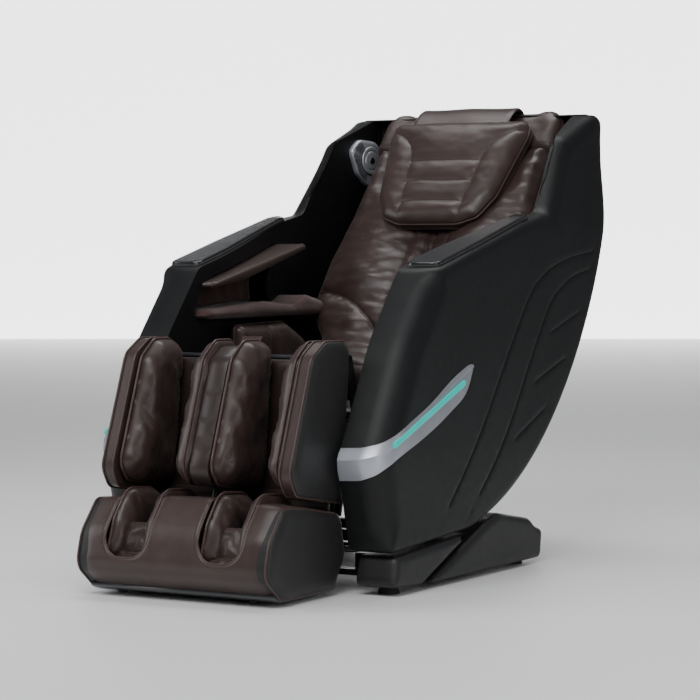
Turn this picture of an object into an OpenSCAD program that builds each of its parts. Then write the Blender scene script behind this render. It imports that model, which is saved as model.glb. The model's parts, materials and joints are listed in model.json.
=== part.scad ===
/* [Overall] */
// Overall width across the side panels
body_w = 800; // [760:1:860]
// Width of one arm, from its inner face to its outer face
arm_w = 118; // [105:1:125]
// Width of one shoulder shell beside the backrest
shoulder_w = 58; // [50:1:64]
// Wall thickness of the moulded covers
wall = 4; // [3:0.5:5]

/* [Seat] */
// Half width of the seat cushion
seat_half = 221; // [205:1:222]
// Half width of the backrest cushion
back_half = 224; // [200:1:226]

/* [Leg rest] */
// Half width of the leg rest
leg_half = 264; // [255:1:266]
// Thickness of each calf airbag
calf_bag_t = 42; // [30:1:44]
// Radius of the foot roller
foot_roller_r = 17; // [14:0.5:18]

/* [Mechanism] */
// Radius of the recline hinge pins
pin_r = 10; // [8:0.5:11]
// Radial play in a running bore
play = 0.05; // [0.03:0.01:0.08]
// Radius of the carriage rollers
roller_r = 15.9; // [14:0.1:15.9]
// Radius of the transport wheels
wheel_r = 15; // [12:0.5:16]

/* [Hidden] */
$fn = 64;
half_w = body_w / 2;
arm_in = half_w - arm_w;
shoulder_in = half_w - shoulder_w;
hinge_yz = [100, 300];
leg_pivot_yz = [-385, 540];
leg_lean = 20.5;
recline_foot_yz = [-60, 120];
recline_end_yz = [0, 350];
skin_w = half_w - 2;
cave_depth = 100;
roller_z = 64;
wheel_yz = [318, 19];
track_half = 62;
back_low = [232, 420];
back_high = [715, 1040];

// ---- helpers: outlines are lists of [y, z] points, extruded along X ----
function unit(v) = v / norm(v);
function arc_at(a, b, c, r, n) =
    r < 0.1 ? [b] :
    let (u = unit(a - b), w = unit(c - b), ang = acos(u * w), p = b + u * r / tan(ang / 2),
         m = b + unit(u + w) * r / sin(ang / 2), q = b + w * r / tan(ang / 2),
         a0 = atan2(p[1] - m[1], p[0] - m[0]), d0 = atan2(q[1] - m[1], q[0] - m[0]) - a0,
         d = d0 > 180 ? d0 - 360 : d0 < -180 ? d0 + 360 : d0)
    [for (i = [0:n]) m + r * [cos(a0 + d * i / n), sin(a0 + d * i / n)]];
function xy(c) = [c[0], c[1]];
function rounded(c, n = 5) =
    [for (i = [0:len(c) - 1])
        each arc_at(xy(c[(i + len(c) - 1) % len(c)]), xy(c[i]), xy(c[(i + 1) % len(c)]), c[i][2], n)];
function bezier(a, b, c, d, n) =
    [for (i = [1:n - 1]) let (t = i / n, u = 1 - t)
        u * u * u * a + 3 * u * u * t * b + 3 * u * t * t * c + t * t * t * d];
// Moves an outline inwards by d; outlines run clockwise seen from +X
function inset(p, d) =
    [for (i = [0:len(p) - 1])
        let (u = unit(p[i] - p[(i + len(p) - 1) % len(p)]), w = unit(p[(i + 1) % len(p)] - p[i]),
             m = unit(u + w))
        p[i] + d * [m[1], -m[0]] / max(0.5, m * u)];

module slab(pts, x0, x1)
    translate([x0, 0, 0]) rotate([90, 0, 90]) linear_extrude(x1 - x0) polygon(pts);
module both() { children(); mirror([1, 0, 0]) children(); }
module rod_x(r, x0, x1, yz)
    translate([x0, yz[0], yz[1]]) rotate([0, 90, 0]) cylinder(r = r, h = x1 - x0);
module box(x0, x1, y0, y1, z0, z1) translate([x0, y0, z0]) cube([x1 - x0, y1 - y0, z1 - z0]);
// Puts children, drawn along +Z from the origin, on the line from a to b in the YZ plane
module along(a, b)
    translate([0, a[0], a[1]]) rotate([atan2(b[1] - a[1], b[0] - a[0]) - 90, 0, 0]) children();

// ---- outlines of the upper body ----
rear_top = [768, 1092];
rear_low = [-66, 121];
rear_curve = bezier(rear_top, [797, 675], [355, 155], rear_low, 18);
shell_line = concat(
    rounded([[-66, 121, 0], [-446, 99, 26], [-500, 314, 60], [-352, 583, 300], [-212, 750, 44],
             [240, 862, 500], [396, 890, 46], [545, 1088, 44], [712, 1152, 90], [772, 1160, 30],
             [768, 1092, 0]]),
    rear_curve);
arm_end = 372;
arm_face = rounded([[-120, 124, 0], [-438, 106, 18], [-492, 314, 52], [-346, 578, 280],
                    [-212, 736, 30], [arm_end, 866, 10], [arm_end, 330, 10]]);
cave_line = rounded([[-226, 622, 8], [-206, 716, 8], [352, 838, 16], [352, 622, 16]]);

module left_half() mirror([1, 0, 0]) children();

// ---- base ----
module base_frame() color("dimgray") {
    both() difference() {
        box(232, 270, -330, 300, 44, 84);
        box(236, 266, -331, 301, 48, 80);
        box(222, 240, -290, 270, 56, 84.5);
    }
    for (y = [-330, 262])
        difference() {
            box(-231.9, 231.9, y, y + 38, 30, 43.9);
            box(-232, 232, y + 3, y + 35, 33, 41);
        }
    both() for (y = [-330, 262]) box(232, 270, y, y + 38, 30, 44);
    both() box(270, 292, -322, -298, 44, 60);
    both() box(270, 292, 268, 292, 44, 60);
    both() box(150, 156, 262, 328, 10, 30);
    both() rod_x(5, 156, 184, wheel_yz);
}
foot_x = 345;
foot_stem_r = 6;
skirt_line = rounded([[30, 142, 4], [-296, 13, 6], [-446, 20, 14], [-424, 92, 10], [-70, 113, 0]]);
skirt_cavity = [[-112, 102], [-292, 20], [-438, 26], [-418, 88]];
module base_skirt() color([0.13, 0.13, 0.14]) difference() {
    slab(skirt_line, arm_in + 12, half_w - 1);
    slab(skirt_cavity, arm_in + 8, half_w - 1 - wall);
    translate([foot_x, -372, 10]) cylinder(r = foot_stem_r + play, h = 20);
}
module base_skirt_right() base_skirt();
module base_skirt_left() left_half() base_skirt();
hump_line = rounded([[-281, 10, 4], [40, 133, 12], [104, 148, 40], [276, 120, 30], [308, 98, 30],
                     [352, 84, 12], [341, 12, 10]]);
hump_cavity = [[-225, 16], [42, 124], [104, 139], [274, 112], [304, 92], [344, 78], [336, 16]];
module rear_base_cover() color([0.13, 0.13, 0.14]) {
    both() difference() {
        slab(hump_line, arm_in + 12, half_w - 1);
        slab(hump_cavity, arm_in + 12 + wall, half_w - 1 - wall);
        box(arm_in + 20, half_w - 9, -190, 320, 0, 30);
        box(arm_in + 10, arm_in + 20, 264, 296, 40, 64);
    }
    difference() {
        box(-arm_in - 14, arm_in + 14, 337, 341, 34, 84);
        box(-31, 31, 330, 345, 40, 76);
    }
    box(-arm_in - 14, arm_in + 14, 306, 338, 80, 84);
}
module floor_feet() color([0.08, 0.08, 0.08]) {
    both() translate([foot_x, -372, 0]) cylinder(r1 = 26, r2 = 22, h = 14.6);
    both() translate([foot_x, 285, 0]) cylinder(r1 = 22, r2 = 18, h = 30);
    both() for (y = [-372, 285]) translate([foot_x, y, 14.6]) cylinder(r = foot_stem_r, h = 25);
}
module transport_wheel() color([0.1, 0.1, 0.1]) {
    difference() {
        rod_x(wheel_r, 160, 180, wheel_yz);
        rod_x(5 + play, 159, 181, wheel_yz);
    }
}
module transport_wheel_right() transport_wheel();
module transport_wheel_left() left_half() transport_wheel();
module power_inlet() color([0.1, 0.1, 0.1]) difference() {
    union() {
        box(-30, 8, 328, 344, 41, 75);
        box(8, 30, 328, 344, 41, 75);
    }
    box(-24, -2, 334, 345, 48, 68);
    box(12, 26, 332, 345, 47, 69);
    rod_x(2 + play, 9, 29, [340, 58]);
    for (x = [-19, -13, -7]) box(x - 1, x + 1, 330, 335, 55, 61);
}
module power_switch() color([0.06, 0.06, 0.06]) {
    slab(rounded([[341, 50, 1], [347.5, 49, 1], [345.5, 58, 0], [347.5, 67, 1], [341, 66, 1],
                  [337.5, 61, 0], [337.5, 55, 0]]), 13, 25);
    rod_x(2, 10, 28, [340, 58]);
}

// ---- carriage that runs along the base ----
module carriage_frame() color("dimgray") {
    both() difference() {
        slab(rounded([[-140, 50, 4], [-140, 82, 12], [40, 110, 40], [78, 300, 20], [122, 300, 20],
                      [150, 110, 40], [222, 82, 12], [222, 50, 4]]), 204, 212);
        for (y = [-120, 200]) rod_x(6 + play, 203, 213, [y, roller_z]);
    }
    both() rod_x(pin_r, 212, 230, hinge_yz);
    both() rod_x(20, 204, 212, hinge_yz);
    for (y = [-96, 150]) difference() {
        box(-204, 204, y, y + 26, 52, 76);
        box(-203, 203, y + 3, y + 23, 55, 73);
    }
    both() box(15, 22, -84, -50, 76, 132);
    rod_x(6, -22, 22, recline_foot_yz);
}
module roller_set(y) color("silver") {
    rod_x(6, -262, 262, [y, roller_z]);
    both() rod_x(roller_r, 243, 262, [y, roller_z]);
}
module front_roller_set() roller_set(-120);
module rear_roller_set() roller_set(200);
module recline_actuator() color([0.2, 0.2, 0.2])
    along(recline_foot_yz, recline_end_yz) difference() {
        union() {
            cylinder(r = 13, h = 150);
            rotate([0, 90, 0]) translate([0, 0, -13.5]) cylinder(r = 13, h = 27);
            translate([0, 26, 20]) cylinder(r = 19, h = 74);
        }
        translate([0, 0, 24]) cylinder(r = 8 + play, h = 130);
        rotate([0, 90, 0]) translate([0, 0, -14]) cylinder(r = 6 + play, h = 28);
    }
module recline_rod() color("silver")
    along(recline_foot_yz, recline_end_yz) {
        translate([0, 0, 28]) cylinder(r = 8, h = 202);
        translate([0, 0, 226]) rotate([0, 90, 0]) translate([0, 0, -10]) cylinder(r = 12, h = 20);
        translate([0, 0, 237.7]) rotate([0, 90, 0]) translate([0, 0, -24]) cylinder(r = 5, h = 48);
    }

// ---- upper body ----
module side_panel() color([0.12, 0.12, 0.13]) {
    difference() {
        slab(shell_line, arm_in, skin_w);
        slab(inset(shell_line, wall), arm_in - 1, skin_w - wall);
        box(arm_in - 1, shoulder_in, 376, 900, 0, 1300);
        box(arm_in - 1, shoulder_in, -90, 900, 0, 420);
    }
}
module side_panel_right() side_panel();
module side_panel_left() left_half() side_panel();
module shoulder_plate() difference() {
    slab(inset(shell_line, wall + 2), shoulder_in - 4, shoulder_in - 0.5);
    box(0, half_w, -900, 376, 0, 1300);
    box(0, half_w, -900, 900, 0, 400);
}
module inner_panel() color([0.1, 0.1, 0.11]) difference() {
    union() {
        slab(arm_face, arm_in - 4, arm_in - 0.5);
        slab(inset(cave_line, -3), arm_in - 1, arm_in + cave_depth + 3);
        box(arm_in - 4, shoulder_in - 0.5, 372, 376, 400, 840);
        shoulder_plate();
    }
    slab(cave_line, arm_in - 5, arm_in + cave_depth);
}
module inner_panel_right() inner_panel();
module inner_panel_left() left_half() inner_panel();
trim_line = rounded([[330, 879, 2], [236, 861.4, 2], [-178, 758.8, 2], [-178, 765, 3],
                     [236, 868, 8], [330, 886, 3]]);
module arm_trim() color([0.05, 0.05, 0.06]) slab(trim_line, arm_in + 8, half_w - 12);
module arm_trim_right() arm_trim();
module arm_trim_left() left_half() arm_trim();
strip_line = rounded([[-470, 300, 8], [-505, 272, 2], [-505, 350, 2], [-476, 375, 12],
                      [-398, 401, 60], [-56, 524, 6], [-44, 514, 5], [-72, 462, 12],
                      [-110, 437, 30], [-222, 389, 100]]);
led_line = rounded([[-446, 343, 5], [-451, 357, 5], [-94, 487, 5], [-89, 473, 5]]);
module silver_strip() color("silver") difference() {
    slab(strip_line, arm_in + 1, half_w);
    slab(shell_line, arm_in, skin_w);
    slab(inset(led_line, -0.3), skin_w - 1, half_w + 1);
}
module silver_strip_right() silver_strip();
module silver_strip_left() left_half() silver_strip();
module led_bar() color("cyan") slab(led_line, skin_w, half_w - 0.5);
module led_bar_right() led_bar();
module led_bar_left() left_half() led_bar();
module back_shell() color([0.12, 0.12, 0.13]) difference() {
    slab(shell_line, -shoulder_in + 1, shoulder_in - 1);
    slab(inset(shell_line, wall), -shoulder_in, shoulder_in);
    box(-half_w, half_w, -900, 330, 0, 1300);
    box(-half_w, half_w, 320, 640, 700, 1300);
    box(-216, 216, 600, 728, 1100, 1300);
    box(-half_w, half_w, 320, 900, 0, 286);
}
module seat_frame() color("dimgray") {
    both() difference() {
        slab(rounded([[60, 336, 4], [70, 276, 24], [130, 276, 24], [140, 336, 4], [240, 336, 3],
                      [240, 366, 3], [-330, 366, 3], [-330, 336, 3]]), 216, 224);
        rod_x(pin_r + play, 215, 225, hinge_yz);
    }
    for (y = [-300, 190]) difference() {
        box(-216, 216, y, y + 28, 340, 365);
        box(-215, 215, y + 3, y + 25, 343, 362);
    }
    box(-216, 216, -16, 16, 366.5, 371);
    both() box(204, 224, -16, 16, 362, 366.5);
    both() difference() {
        box(14, 20, -14, 14, 336, 366.5);
        rod_x(7.6, 13, 21, recline_end_yz);
    }
    both() box(197, 213, 192, 216, 365, 399);
    both() box(224, 241, -330, -322, 340, 366);
    both() difference() {
        slab(rounded([[-340, 342, 4], [-397, 534, 12], [-397, 551, 11], [-373, 551, 11],
                      [-318, 366, 4], [-318, 342, 4]]), 240, 248);
        rod_x(8 + play, 239, 249, leg_pivot_yz);
    }
}
module back_box(x0, x1, y0, y1, s0, s1)
    along(back_low, back_high) box(x0, x1, y0, y1, s0, s1);
back_len = norm(back_high - back_low);
module back_frame() color("dimgray") {
    both() back_box(196, 214, -10, 10, -18, back_len);
    both() back_box(track_half, track_half + 12, -8, 8, 4, back_len - 14);
    for (s = [-10, back_len - 18]) back_box(-200, 200, -10, 10, s, s + 18);
    both() box(186, 198, 250, 424, 384, 392);
    both() box(186, 198, 250, 262, 388, 440);
    for (y = [316, 396]) box(-190, 190, y, y + 24, 386, 392);
}
module control_box() color([0.15, 0.15, 0.16]) {
    difference() {
        box(-180, -20, 310, 430, 392.5, 440);
        box(-177, -23, 313, 427, 395, 437);
    }
    for (x = [-160:20:-60]) box(x, x + 12, 308, 310, 402, 412);
}
module air_pump() color([0.2, 0.2, 0.22]) {
    difference() {
        box(30, 170, 316, 426, 392.5, 450);
        for (z = [402:9:440]) box(29, 171, 315, 318, z, z + 4);
    }
    for (x = [60, 100, 140]) translate([x, 316, 420]) rotate([90, 0, 0]) cylinder(r = 5, h = 16);
}
seat_line = rounded([[170, 374, 14], [-322, 440, 16], [-334, 500, 26], [-322, 532, 30],
                     [-240, 522, 120], [172, 462, 20]]);
module seat_cushion() color([0.3, 0.23, 0.21]) slab(seat_line, -seat_half, seat_half);
module back_cushion() color([0.3, 0.23, 0.21]) difference() {
    back_box(-back_half, back_half, -62, -26, 12, 790);
    box(-300, 300, -100, 190, 300, 466);
}
module hip_airbag() color([0.28, 0.2, 0.19]) slab(rounded([[250, 452, 20], [-80, 486, 14],
    [-84, 606, 14], [150, 612, 20], [250, 560, 30]]), 226, arm_in - 6);
module hip_airbag_right() hip_airbag();
module hip_airbag_left() left_half() hip_airbag();
module shoulder_airbag() color([0.3, 0.23, 0.21]) back_box(229, 290, -70, -20, 440, 700);
module shoulder_airbag_right() shoulder_airbag();
module shoulder_airbag_left() left_half() shoulder_airbag();
pad_in = 246;
module arm_pad_upper() color([0.3, 0.22, 0.21]) slab(rounded([[-197, 700, 3], [-194, 713, 4],
    [250, 811, 6], [260, 794, 6], [110, 748, 30], [-40, 713, 30]]), pad_in, half_w - 20);
module arm_pad_upper_right() arm_pad_upper();
module arm_pad_upper_left() left_half() arm_pad_upper();
module arm_pad_lower() color([0.32, 0.18, 0.17]) slab(rounded([[330, 622.5, 8], [-215, 622.5, 10],
    [-212, 648, 14], [40, 664, 40], [250, 682, 30], [344, 660, 14]]), pad_in, half_w - 20);
module arm_pad_lower_right() arm_pad_lower();
module arm_pad_lower_left() left_half() arm_pad_lower();
speaker_at = [303, 678, 1038];
module speaker() color("silver") translate(speaker_at) rotate([0, 0, 12]) rotate([0, 90, 0])
    difference() {
        union() {
            cylinder(r = 41, h = 8);
            translate([0, 0, 8]) cylinder(r = 34, h = 17);
        }
        translate([0, 0, -1]) cylinder(r = 31, h = 5);
        translate([0, 0, 6]) cylinder(r = 29, h = 16);
    }
module speaker_right() speaker();
module speaker_left() left_half() speaker();
module top_cowl() color([0.3, 0.23, 0.21]) back_box(-262, 262, -60, -20, 794, 862);

// ---- massage robot that climbs the back track ----
robot_s = 96;
module robot_chassis() color([0.18, 0.18, 0.2]) along(back_low, back_high) {
    difference() {
        box(-60, 60, -14, 40, robot_s - 56, robot_s + 56);
        both() box(10, 50, -15, 30, robot_s - 53, robot_s + 53);
    }
    both() translate([0, 0, robot_s]) rotate([0, 90, 0]) translate([0, 0, 10]) cylinder(r = 6, h = 40);
    for (y = [-14, 8.4]) both() box(60, 75, y, y + 5.6, robot_s - 40, robot_s + 40);
    translate([0, 40, robot_s]) rotate([-90, 0, 0]) cylinder(r = 24, h = 22);
}
module kneading_arm() color([0.25, 0.25, 0.27]) along(back_low, back_high)
    translate([20, 0, robot_s]) rotate([0, 90, 0]) {
        difference() {
            union() {
                cylinder(r = 13, h = 20);
                translate([-40, -4, 4]) cube([80, 9, 12]);
            }
            translate([0, 0, -1]) cylinder(r = 6 + play, h = 22);
        }
        for (s = [-34, 34]) translate([s, 1, -6]) difference() {
            cylinder(r = 14, h = 32);
            translate([0, 0, 9]) difference() {
                cylinder(r = 15, h = 14);
                translate([0, 0, -1]) cylinder(r = 8, h = 16);
            }
        }
    }
module kneading_arm_right() kneading_arm();
module kneading_arm_left() left_half() kneading_arm();

// ---- headrest ----
pillow_pivot = 868;
module headrest_pillow() color([0.3, 0.23, 0.21])
    along(back_low, back_high) {
        rotate([90, 0, 0]) translate([0, 0, 63]) linear_extrude(60)
            polygon(rounded([[-90, 492, 24], [-142, 512, 24], [-196, 640, 60], [-205, 834, 30],
                             [205, 834, 30], [196, 640, 60], [142, 512, 24], [90, 492, 24]]));
        both() box(96, 150, -66, -62.5, 700, pillow_pivot);
        both() translate([0, -62, pillow_pivot]) rotate([0, 90, 0]) translate([0, 0, 96])
            cylinder(r = 2, h = 54);
    }

// ---- leg rest: hangs from the front of the seat ----
calf_line = rounded([[-438, 210, 6], [-640, 242, 30], [-668, 290, 40], [-570, 552, 40],
                     [-512, 586, 30], [-432, 586, 20], [-402, 564, 10]]);
pan_line = [[-438, 212], [-456, 215], [-420, 562], [-402, 562]];
leg_dir = [-sin(leg_lean), -cos(leg_lean)];
rod_low = [-572, 178];
rod_high = rod_low - leg_dir * 330;
module guide_holes(r) both() translate([14, 0, 0]) along(rod_low, rod_high)
    translate([0, 0, -30]) cylinder(r = r, h = 390);
module calf_shell() color([0.14, 0.13, 0.13]) {
    difference() {
        union() {
            slab(pan_line, -222, 222);
            slab(inset(calf_line, 10), -28, 28);
        }
        guide_holes(8 + play);
    }
    both() slab(calf_line, 222, 255.5);
    both() difference() {
        slab(rounded([[-440, 500, 4], [-425, 560, 4], [-395, 556, 10], [-370, 540, 14],
                      [-385, 524, 10]]), 226, 236);
        rod_x(8, 225, 237, leg_pivot_yz);
    }
}
module legrest_shaft() color("silver") rod_x(8, -248, 248, leg_pivot_yz);
module legrest_motor() color([0.2, 0.2, 0.2]) difference() {
    union() {
        rod_x(14, -30, 30, leg_pivot_yz);
        slab(rounded([[-352, 342, 3], [-352, 480, 4], [-392, 528, 3], [-376, 550, 3],
                      [-341, 520, 3], [-341, 436, 3], [-302, 420, 3], [-302, 342, 3]]), -30, 30);
    }
    rod_x(8 + play, -31, 31, leg_pivot_yz);
}
module calf_side() color([0.12, 0.12, 0.13]) difference() {
    slab(calf_line, 256, leg_half);
    slab(inset(calf_line, wall), 255.5, leg_half - wall);
}
module calf_side_right() calf_side();
module calf_side_left() left_half() calf_side();
bag_line = rounded([[-462, 236, 20], [-626, 258, 26], [-650, 300, 40], [-562, 540, 34],
                    [-514, 578, 30], [-446, 578, 20], [-428, 556, 10]]);
module calf_bag(x0) color([0.3, 0.23, 0.21]) slab(bag_line, x0, x0 + calf_bag_t);
module calf_airbag_outer_right() calf_bag(221.5 - calf_bag_t);
module calf_airbag_inner_right() calf_bag(28.5);
module calf_airbag_outer_left() left_half() calf_airbag_outer_right();
module calf_airbag_inner_left() left_half() calf_airbag_inner_right();

// ---- foot section: slides out of the leg rest ----
foot_line = rounded([[-470, 16, 26], [-700, 13, 40], [-774.5, 72, 44], [-756, 150, 80],
                     [-682, 226, 22], [-600, 214, 100], [-440, 186, 30], [-420, 90, 50]]);
well_low = [62, -694, 58];
well_high = [192, -500, 260];
module wells() {
    both() box(well_low[0], well_high[0], well_low[1], well_high[1], well_low[2], well_high[2]);
    both() box(86, 168, -800, -690, 112, 300);
}
foot_roller_yz = [-596, 84];
module foot_shell() color([0.2, 0.16, 0.15]) {
    difference() {
        slab(foot_line, -leg_half + 2, leg_half - 2);
        wells();
        guide_holes(8);
        both() rod_x(5 + play, 20, 240, foot_roller_yz);
        slab(inset(foot_line, wall), 196, leg_half - 2 - wall);
    }
    both() for (y = [-690, -500]) translate([180, y, 4]) cylinder(r = 12, h = 14);
}
module foot_guide_rods() color("silver") both() translate([14, 0, 0])
    along(rod_low, rod_high) translate([0, 0, -28]) cylinder(r = 8, h = 358);
module foot_pad() color([0.3, 0.23, 0.21]) difference() {
    box(well_low[0] + 1, well_high[0] - 1, well_low[1] + 1, well_high[1] - 1, 104, 205);
    box(well_low[0] + 20, well_high[0] - 20, well_low[1] - 2, well_high[1] - 20, 100, 210);
}
module foot_pad_right() foot_pad();
module foot_pad_left() left_half() foot_pad();
module foot_rollers() color([0.12, 0.12, 0.12]) {
    both() rod_x(5, 24, 236, foot_roller_yz);
    both() for (x = [70:20:170]) rod_x(foot_roller_r, x, x + 13, foot_roller_yz);
}

base_frame();
base_skirt_left();
base_skirt_right();
rear_base_cover();
floor_feet();
transport_wheel_left();
transport_wheel_right();
power_inlet();
power_switch();
control_box();
air_pump();
carriage_frame();
front_roller_set();
rear_roller_set();
recline_actuator();
recline_rod();
side_panel_left();
side_panel_right();
inner_panel_left();
inner_panel_right();
arm_trim_left();
arm_trim_right();
silver_strip_left();
silver_strip_right();
led_bar_left();
led_bar_right();
back_shell();
seat_frame();
back_frame();
seat_cushion();
back_cushion();
hip_airbag_left();
hip_airbag_right();
shoulder_airbag_left();
shoulder_airbag_right();
arm_pad_upper_left();
arm_pad_upper_right();
arm_pad_lower_left();
arm_pad_lower_right();
speaker_left();
speaker_right();
robot_chassis();
kneading_arm_left();
kneading_arm_right();
headrest_pillow();
top_cowl();
calf_shell();
calf_side_left();
calf_side_right();
calf_airbag_outer_left();
calf_airbag_inner_left();
calf_airbag_inner_right();
calf_airbag_outer_right();
legrest_motor();
legrest_shaft();
foot_shell();
foot_guide_rods();
foot_pad_left();
foot_pad_right();
foot_rollers();
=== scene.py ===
"""Massage chair: the looks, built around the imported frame. Metres, +Z up, the sitter faces -Y."""
import json
import math

import bmesh
import bpy
import numpy as np
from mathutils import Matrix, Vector, noise
from mathutils.bvhtree import BVHTree
from mathutils.geometry import delaunay_2d_cdt


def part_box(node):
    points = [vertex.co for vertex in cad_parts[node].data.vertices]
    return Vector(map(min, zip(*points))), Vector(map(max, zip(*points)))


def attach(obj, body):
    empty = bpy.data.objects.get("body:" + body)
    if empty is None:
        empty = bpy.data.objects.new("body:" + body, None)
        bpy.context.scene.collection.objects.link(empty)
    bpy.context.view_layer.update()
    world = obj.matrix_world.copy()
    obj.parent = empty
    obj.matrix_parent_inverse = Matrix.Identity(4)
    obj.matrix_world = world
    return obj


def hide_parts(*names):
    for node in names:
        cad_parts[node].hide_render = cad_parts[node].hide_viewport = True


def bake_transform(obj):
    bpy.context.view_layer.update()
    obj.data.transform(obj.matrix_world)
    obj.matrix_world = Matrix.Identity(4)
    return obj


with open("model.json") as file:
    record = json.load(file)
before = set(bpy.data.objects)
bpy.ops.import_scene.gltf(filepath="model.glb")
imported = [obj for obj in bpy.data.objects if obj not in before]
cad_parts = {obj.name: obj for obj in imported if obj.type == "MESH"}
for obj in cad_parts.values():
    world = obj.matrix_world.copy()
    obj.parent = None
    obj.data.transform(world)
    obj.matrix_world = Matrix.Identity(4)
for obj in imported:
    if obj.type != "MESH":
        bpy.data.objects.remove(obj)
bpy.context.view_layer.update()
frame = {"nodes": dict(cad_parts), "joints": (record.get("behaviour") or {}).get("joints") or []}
MM = 0.001

# ---------------------------------------------------------------- places taken from the frame
# Outlines are in millimetres: (y, z) in side views, (x, s) on the backrest, s running up from BACK_ORIGIN.
panel_low, panel_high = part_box("side_panel_right")
climb = next(j for j in frame["joints"] if j["name"] == "robot_climb")
SKIN_X = panel_high.x / MM
ARM_IN = panel_low.x / MM
BACK_DIR = np.array(climb["axis"][1:])
BACK_FRONT = np.array([-BACK_DIR[1], BACK_DIR[0]])
BACK_ORIGIN = np.array([232.0, 420.0])
CAMERA_TURN = math.radians(29.76)
CAMERA_TILT = math.radians(-2.29)
PUFF_PRESSURE = 4.0


# ---------------------------------------------------------------- camera, lights and floor
def make_camera():
    data = bpy.data.cameras.new("camera")
    data.lens, data.sensor_width = 130.8, 36
    data.clip_end = 100
    cam = bpy.data.objects.new("camera", data)
    cam.location = (3.1782, -5.5069, 0.7986)
    cam.rotation_euler = (math.radians(90) + CAMERA_TILT, 0, CAMERA_TURN)
    bpy.context.scene.collection.objects.link(cam)
    bpy.context.scene.camera = cam


def area_light(name, place, target, size, power):
    data = bpy.data.lights.new(name, "AREA")
    data.shape, data.size, data.size_y, data.energy = "RECTANGLE", size[0], size[1], power
    lamp = bpy.data.objects.new(name, data)
    lamp.location = place
    lamp.rotation_euler = (Vector(target) - Vector(place)).to_track_quat("-Z", "Y").to_euler()
    bpy.context.scene.collection.objects.link(lamp)


def stage_material(name, grey, **values):
    mat = bpy.data.materials.new(name)
    mat.use_nodes = True
    shader = mat.node_tree.nodes["Principled BSDF"]
    shader.inputs["Base Color"].default_value = (grey, grey, grey, 1)
    for key, value in values.items():
        shader.inputs[key].default_value = value
    return mat


def make_studio():
    world = bpy.data.worlds.new("studio")
    world.use_nodes = True
    back = world.node_tree.nodes["Background"]
    back.inputs[0].default_value = (0.93, 0.95, 1, 1)
    back.inputs[1].default_value = 0.16
    bpy.context.scene.world = world
    area_light("key", (0.6, -2.8, 3.4), (0, 0, 0.5), (2.4, 1.4), 95)
    area_light("side", (4.0, 1.6, 2.4), (0.3, 0.2, 0.6), (1.2, 2.0), 7)
    area_light("left", (-3.4, -2.2, 1.8), (0, -0.2, 0.5), (1.6, 2.4), 50)
    area_light("edge", (2.9, -1.8, 1.15), (0.36, -0.35, 0.6), (0.35, 2.0), 16)
    area_light("top", (-0.2, 1.0, 3.8), (0, 0.3, 0.8), (2.6, 1.2), 60)
    bpy.ops.mesh.primitive_plane_add(size=40, location=(0, 0, 0))
    floor = bpy.context.object
    floor.name = "floor"
    floor.data.materials.append(stage_material("floor", 0.86, Roughness=0.6))
    bpy.ops.mesh.primitive_plane_add(size=12, location=(-6.9, 14.6, 0),
                                     rotation=(math.radians(90), 0, CAMERA_TURN))
    wall = bpy.context.object
    wall.name = "backdrop"
    glow = {"Emission Color": (1, 1, 1, 1), "Emission Strength": 3.2}
    wall.data.materials.append(stage_material("backdrop", 0.9, **glow))


# ---------------------------------------------------------------- materials
class Nodes:
    """A small builder for node materials."""

    def __init__(self, name):
        self.mat = bpy.data.materials.new(name)
        self.mat.use_nodes = True
        self.tree = self.mat.node_tree
        self.shader = self.tree.nodes["Principled BSDF"]
        self.place = self.add("ShaderNodeTexCoord").outputs["Object"]

    def add(self, kind, **values):
        node = self.tree.nodes.new(kind)
        for key, value in values.items():
            if key in node.inputs:
                node.inputs[key].default_value = value
            else:
                setattr(node, key, value)
        return node

    def link(self, a, b):
        self.tree.links.new(a, b)

    def noise(self, scale, detail=3.0, rough=0.55):
        node = self.add("ShaderNodeTexNoise", Scale=scale, Detail=detail, Roughness=rough)
        self.link(self.place, node.inputs["Vector"])
        return node.outputs["Fac"]

    def voronoi(self, scale, feature="F1", output="Distance"):
        node = self.add("ShaderNodeTexVoronoi", feature=feature, Scale=scale)
        self.link(self.place, node.inputs["Vector"])
        return node.outputs[output]

    def ramp(self, fac, stops):
        node = self.add("ShaderNodeValToRGB")
        while len(node.color_ramp.elements) < len(stops):
            node.color_ramp.elements.new(0.5)
        for element, (at, colour) in zip(node.color_ramp.elements, stops):
            element.position = at
            element.color = (*colour, 1)
        self.link(fac, node.inputs["Fac"])
        return node.outputs["Color"]

    def span(self, fac, low, high):
        node = self.add("ShaderNodeMapRange")
        node.inputs["To Min"].default_value, node.inputs["To Max"].default_value = low, high
        self.link(fac, node.inputs["Value"])
        return node.outputs["Result"]

    def sum(self, a, b, share=1.0):
        node = self.add("ShaderNodeMath", operation="MULTIPLY_ADD")
        self.link(b, node.inputs[0])
        node.inputs[1].default_value = share
        self.link(a, node.inputs[2])
        return node.outputs[0]

    def colour(self, fac, *stops):
        self.link(self.ramp(fac, stops), self.shader.inputs["Base Color"])

    def roughness(self, fac, low, high):
        self.link(self.span(fac, low, high), self.shader.inputs["Roughness"])

    def bump(self, height, strength, distance):
        node = self.add("ShaderNodeBump", Strength=strength, Distance=distance)
        self.link(height, node.inputs["Height"])
        self.link(node.outputs["Normal"], self.shader.inputs["Normal"])

    def finish(self, **values):
        for key, value in values.items():
            self.shader.inputs[key].default_value = value
        return self.mat


def leather(name, dark, light, grain=900.0, rough=(0.3, 0.44)):
    n = Nodes(name)
    n.colour(n.noise(9, 4), (0.3, dark), (0.72, light))
    n.roughness(n.noise(26, 4), *rough)
    cells = n.voronoi(grain)
    creases = n.noise(60, 5, 0.6)
    n.bump(n.sum(cells, creases, 1.6), 0.22, 0.0006)
    return n.finish(**{"Specular IOR Level": 0.5, "Sheen Weight": 0.05})


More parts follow.
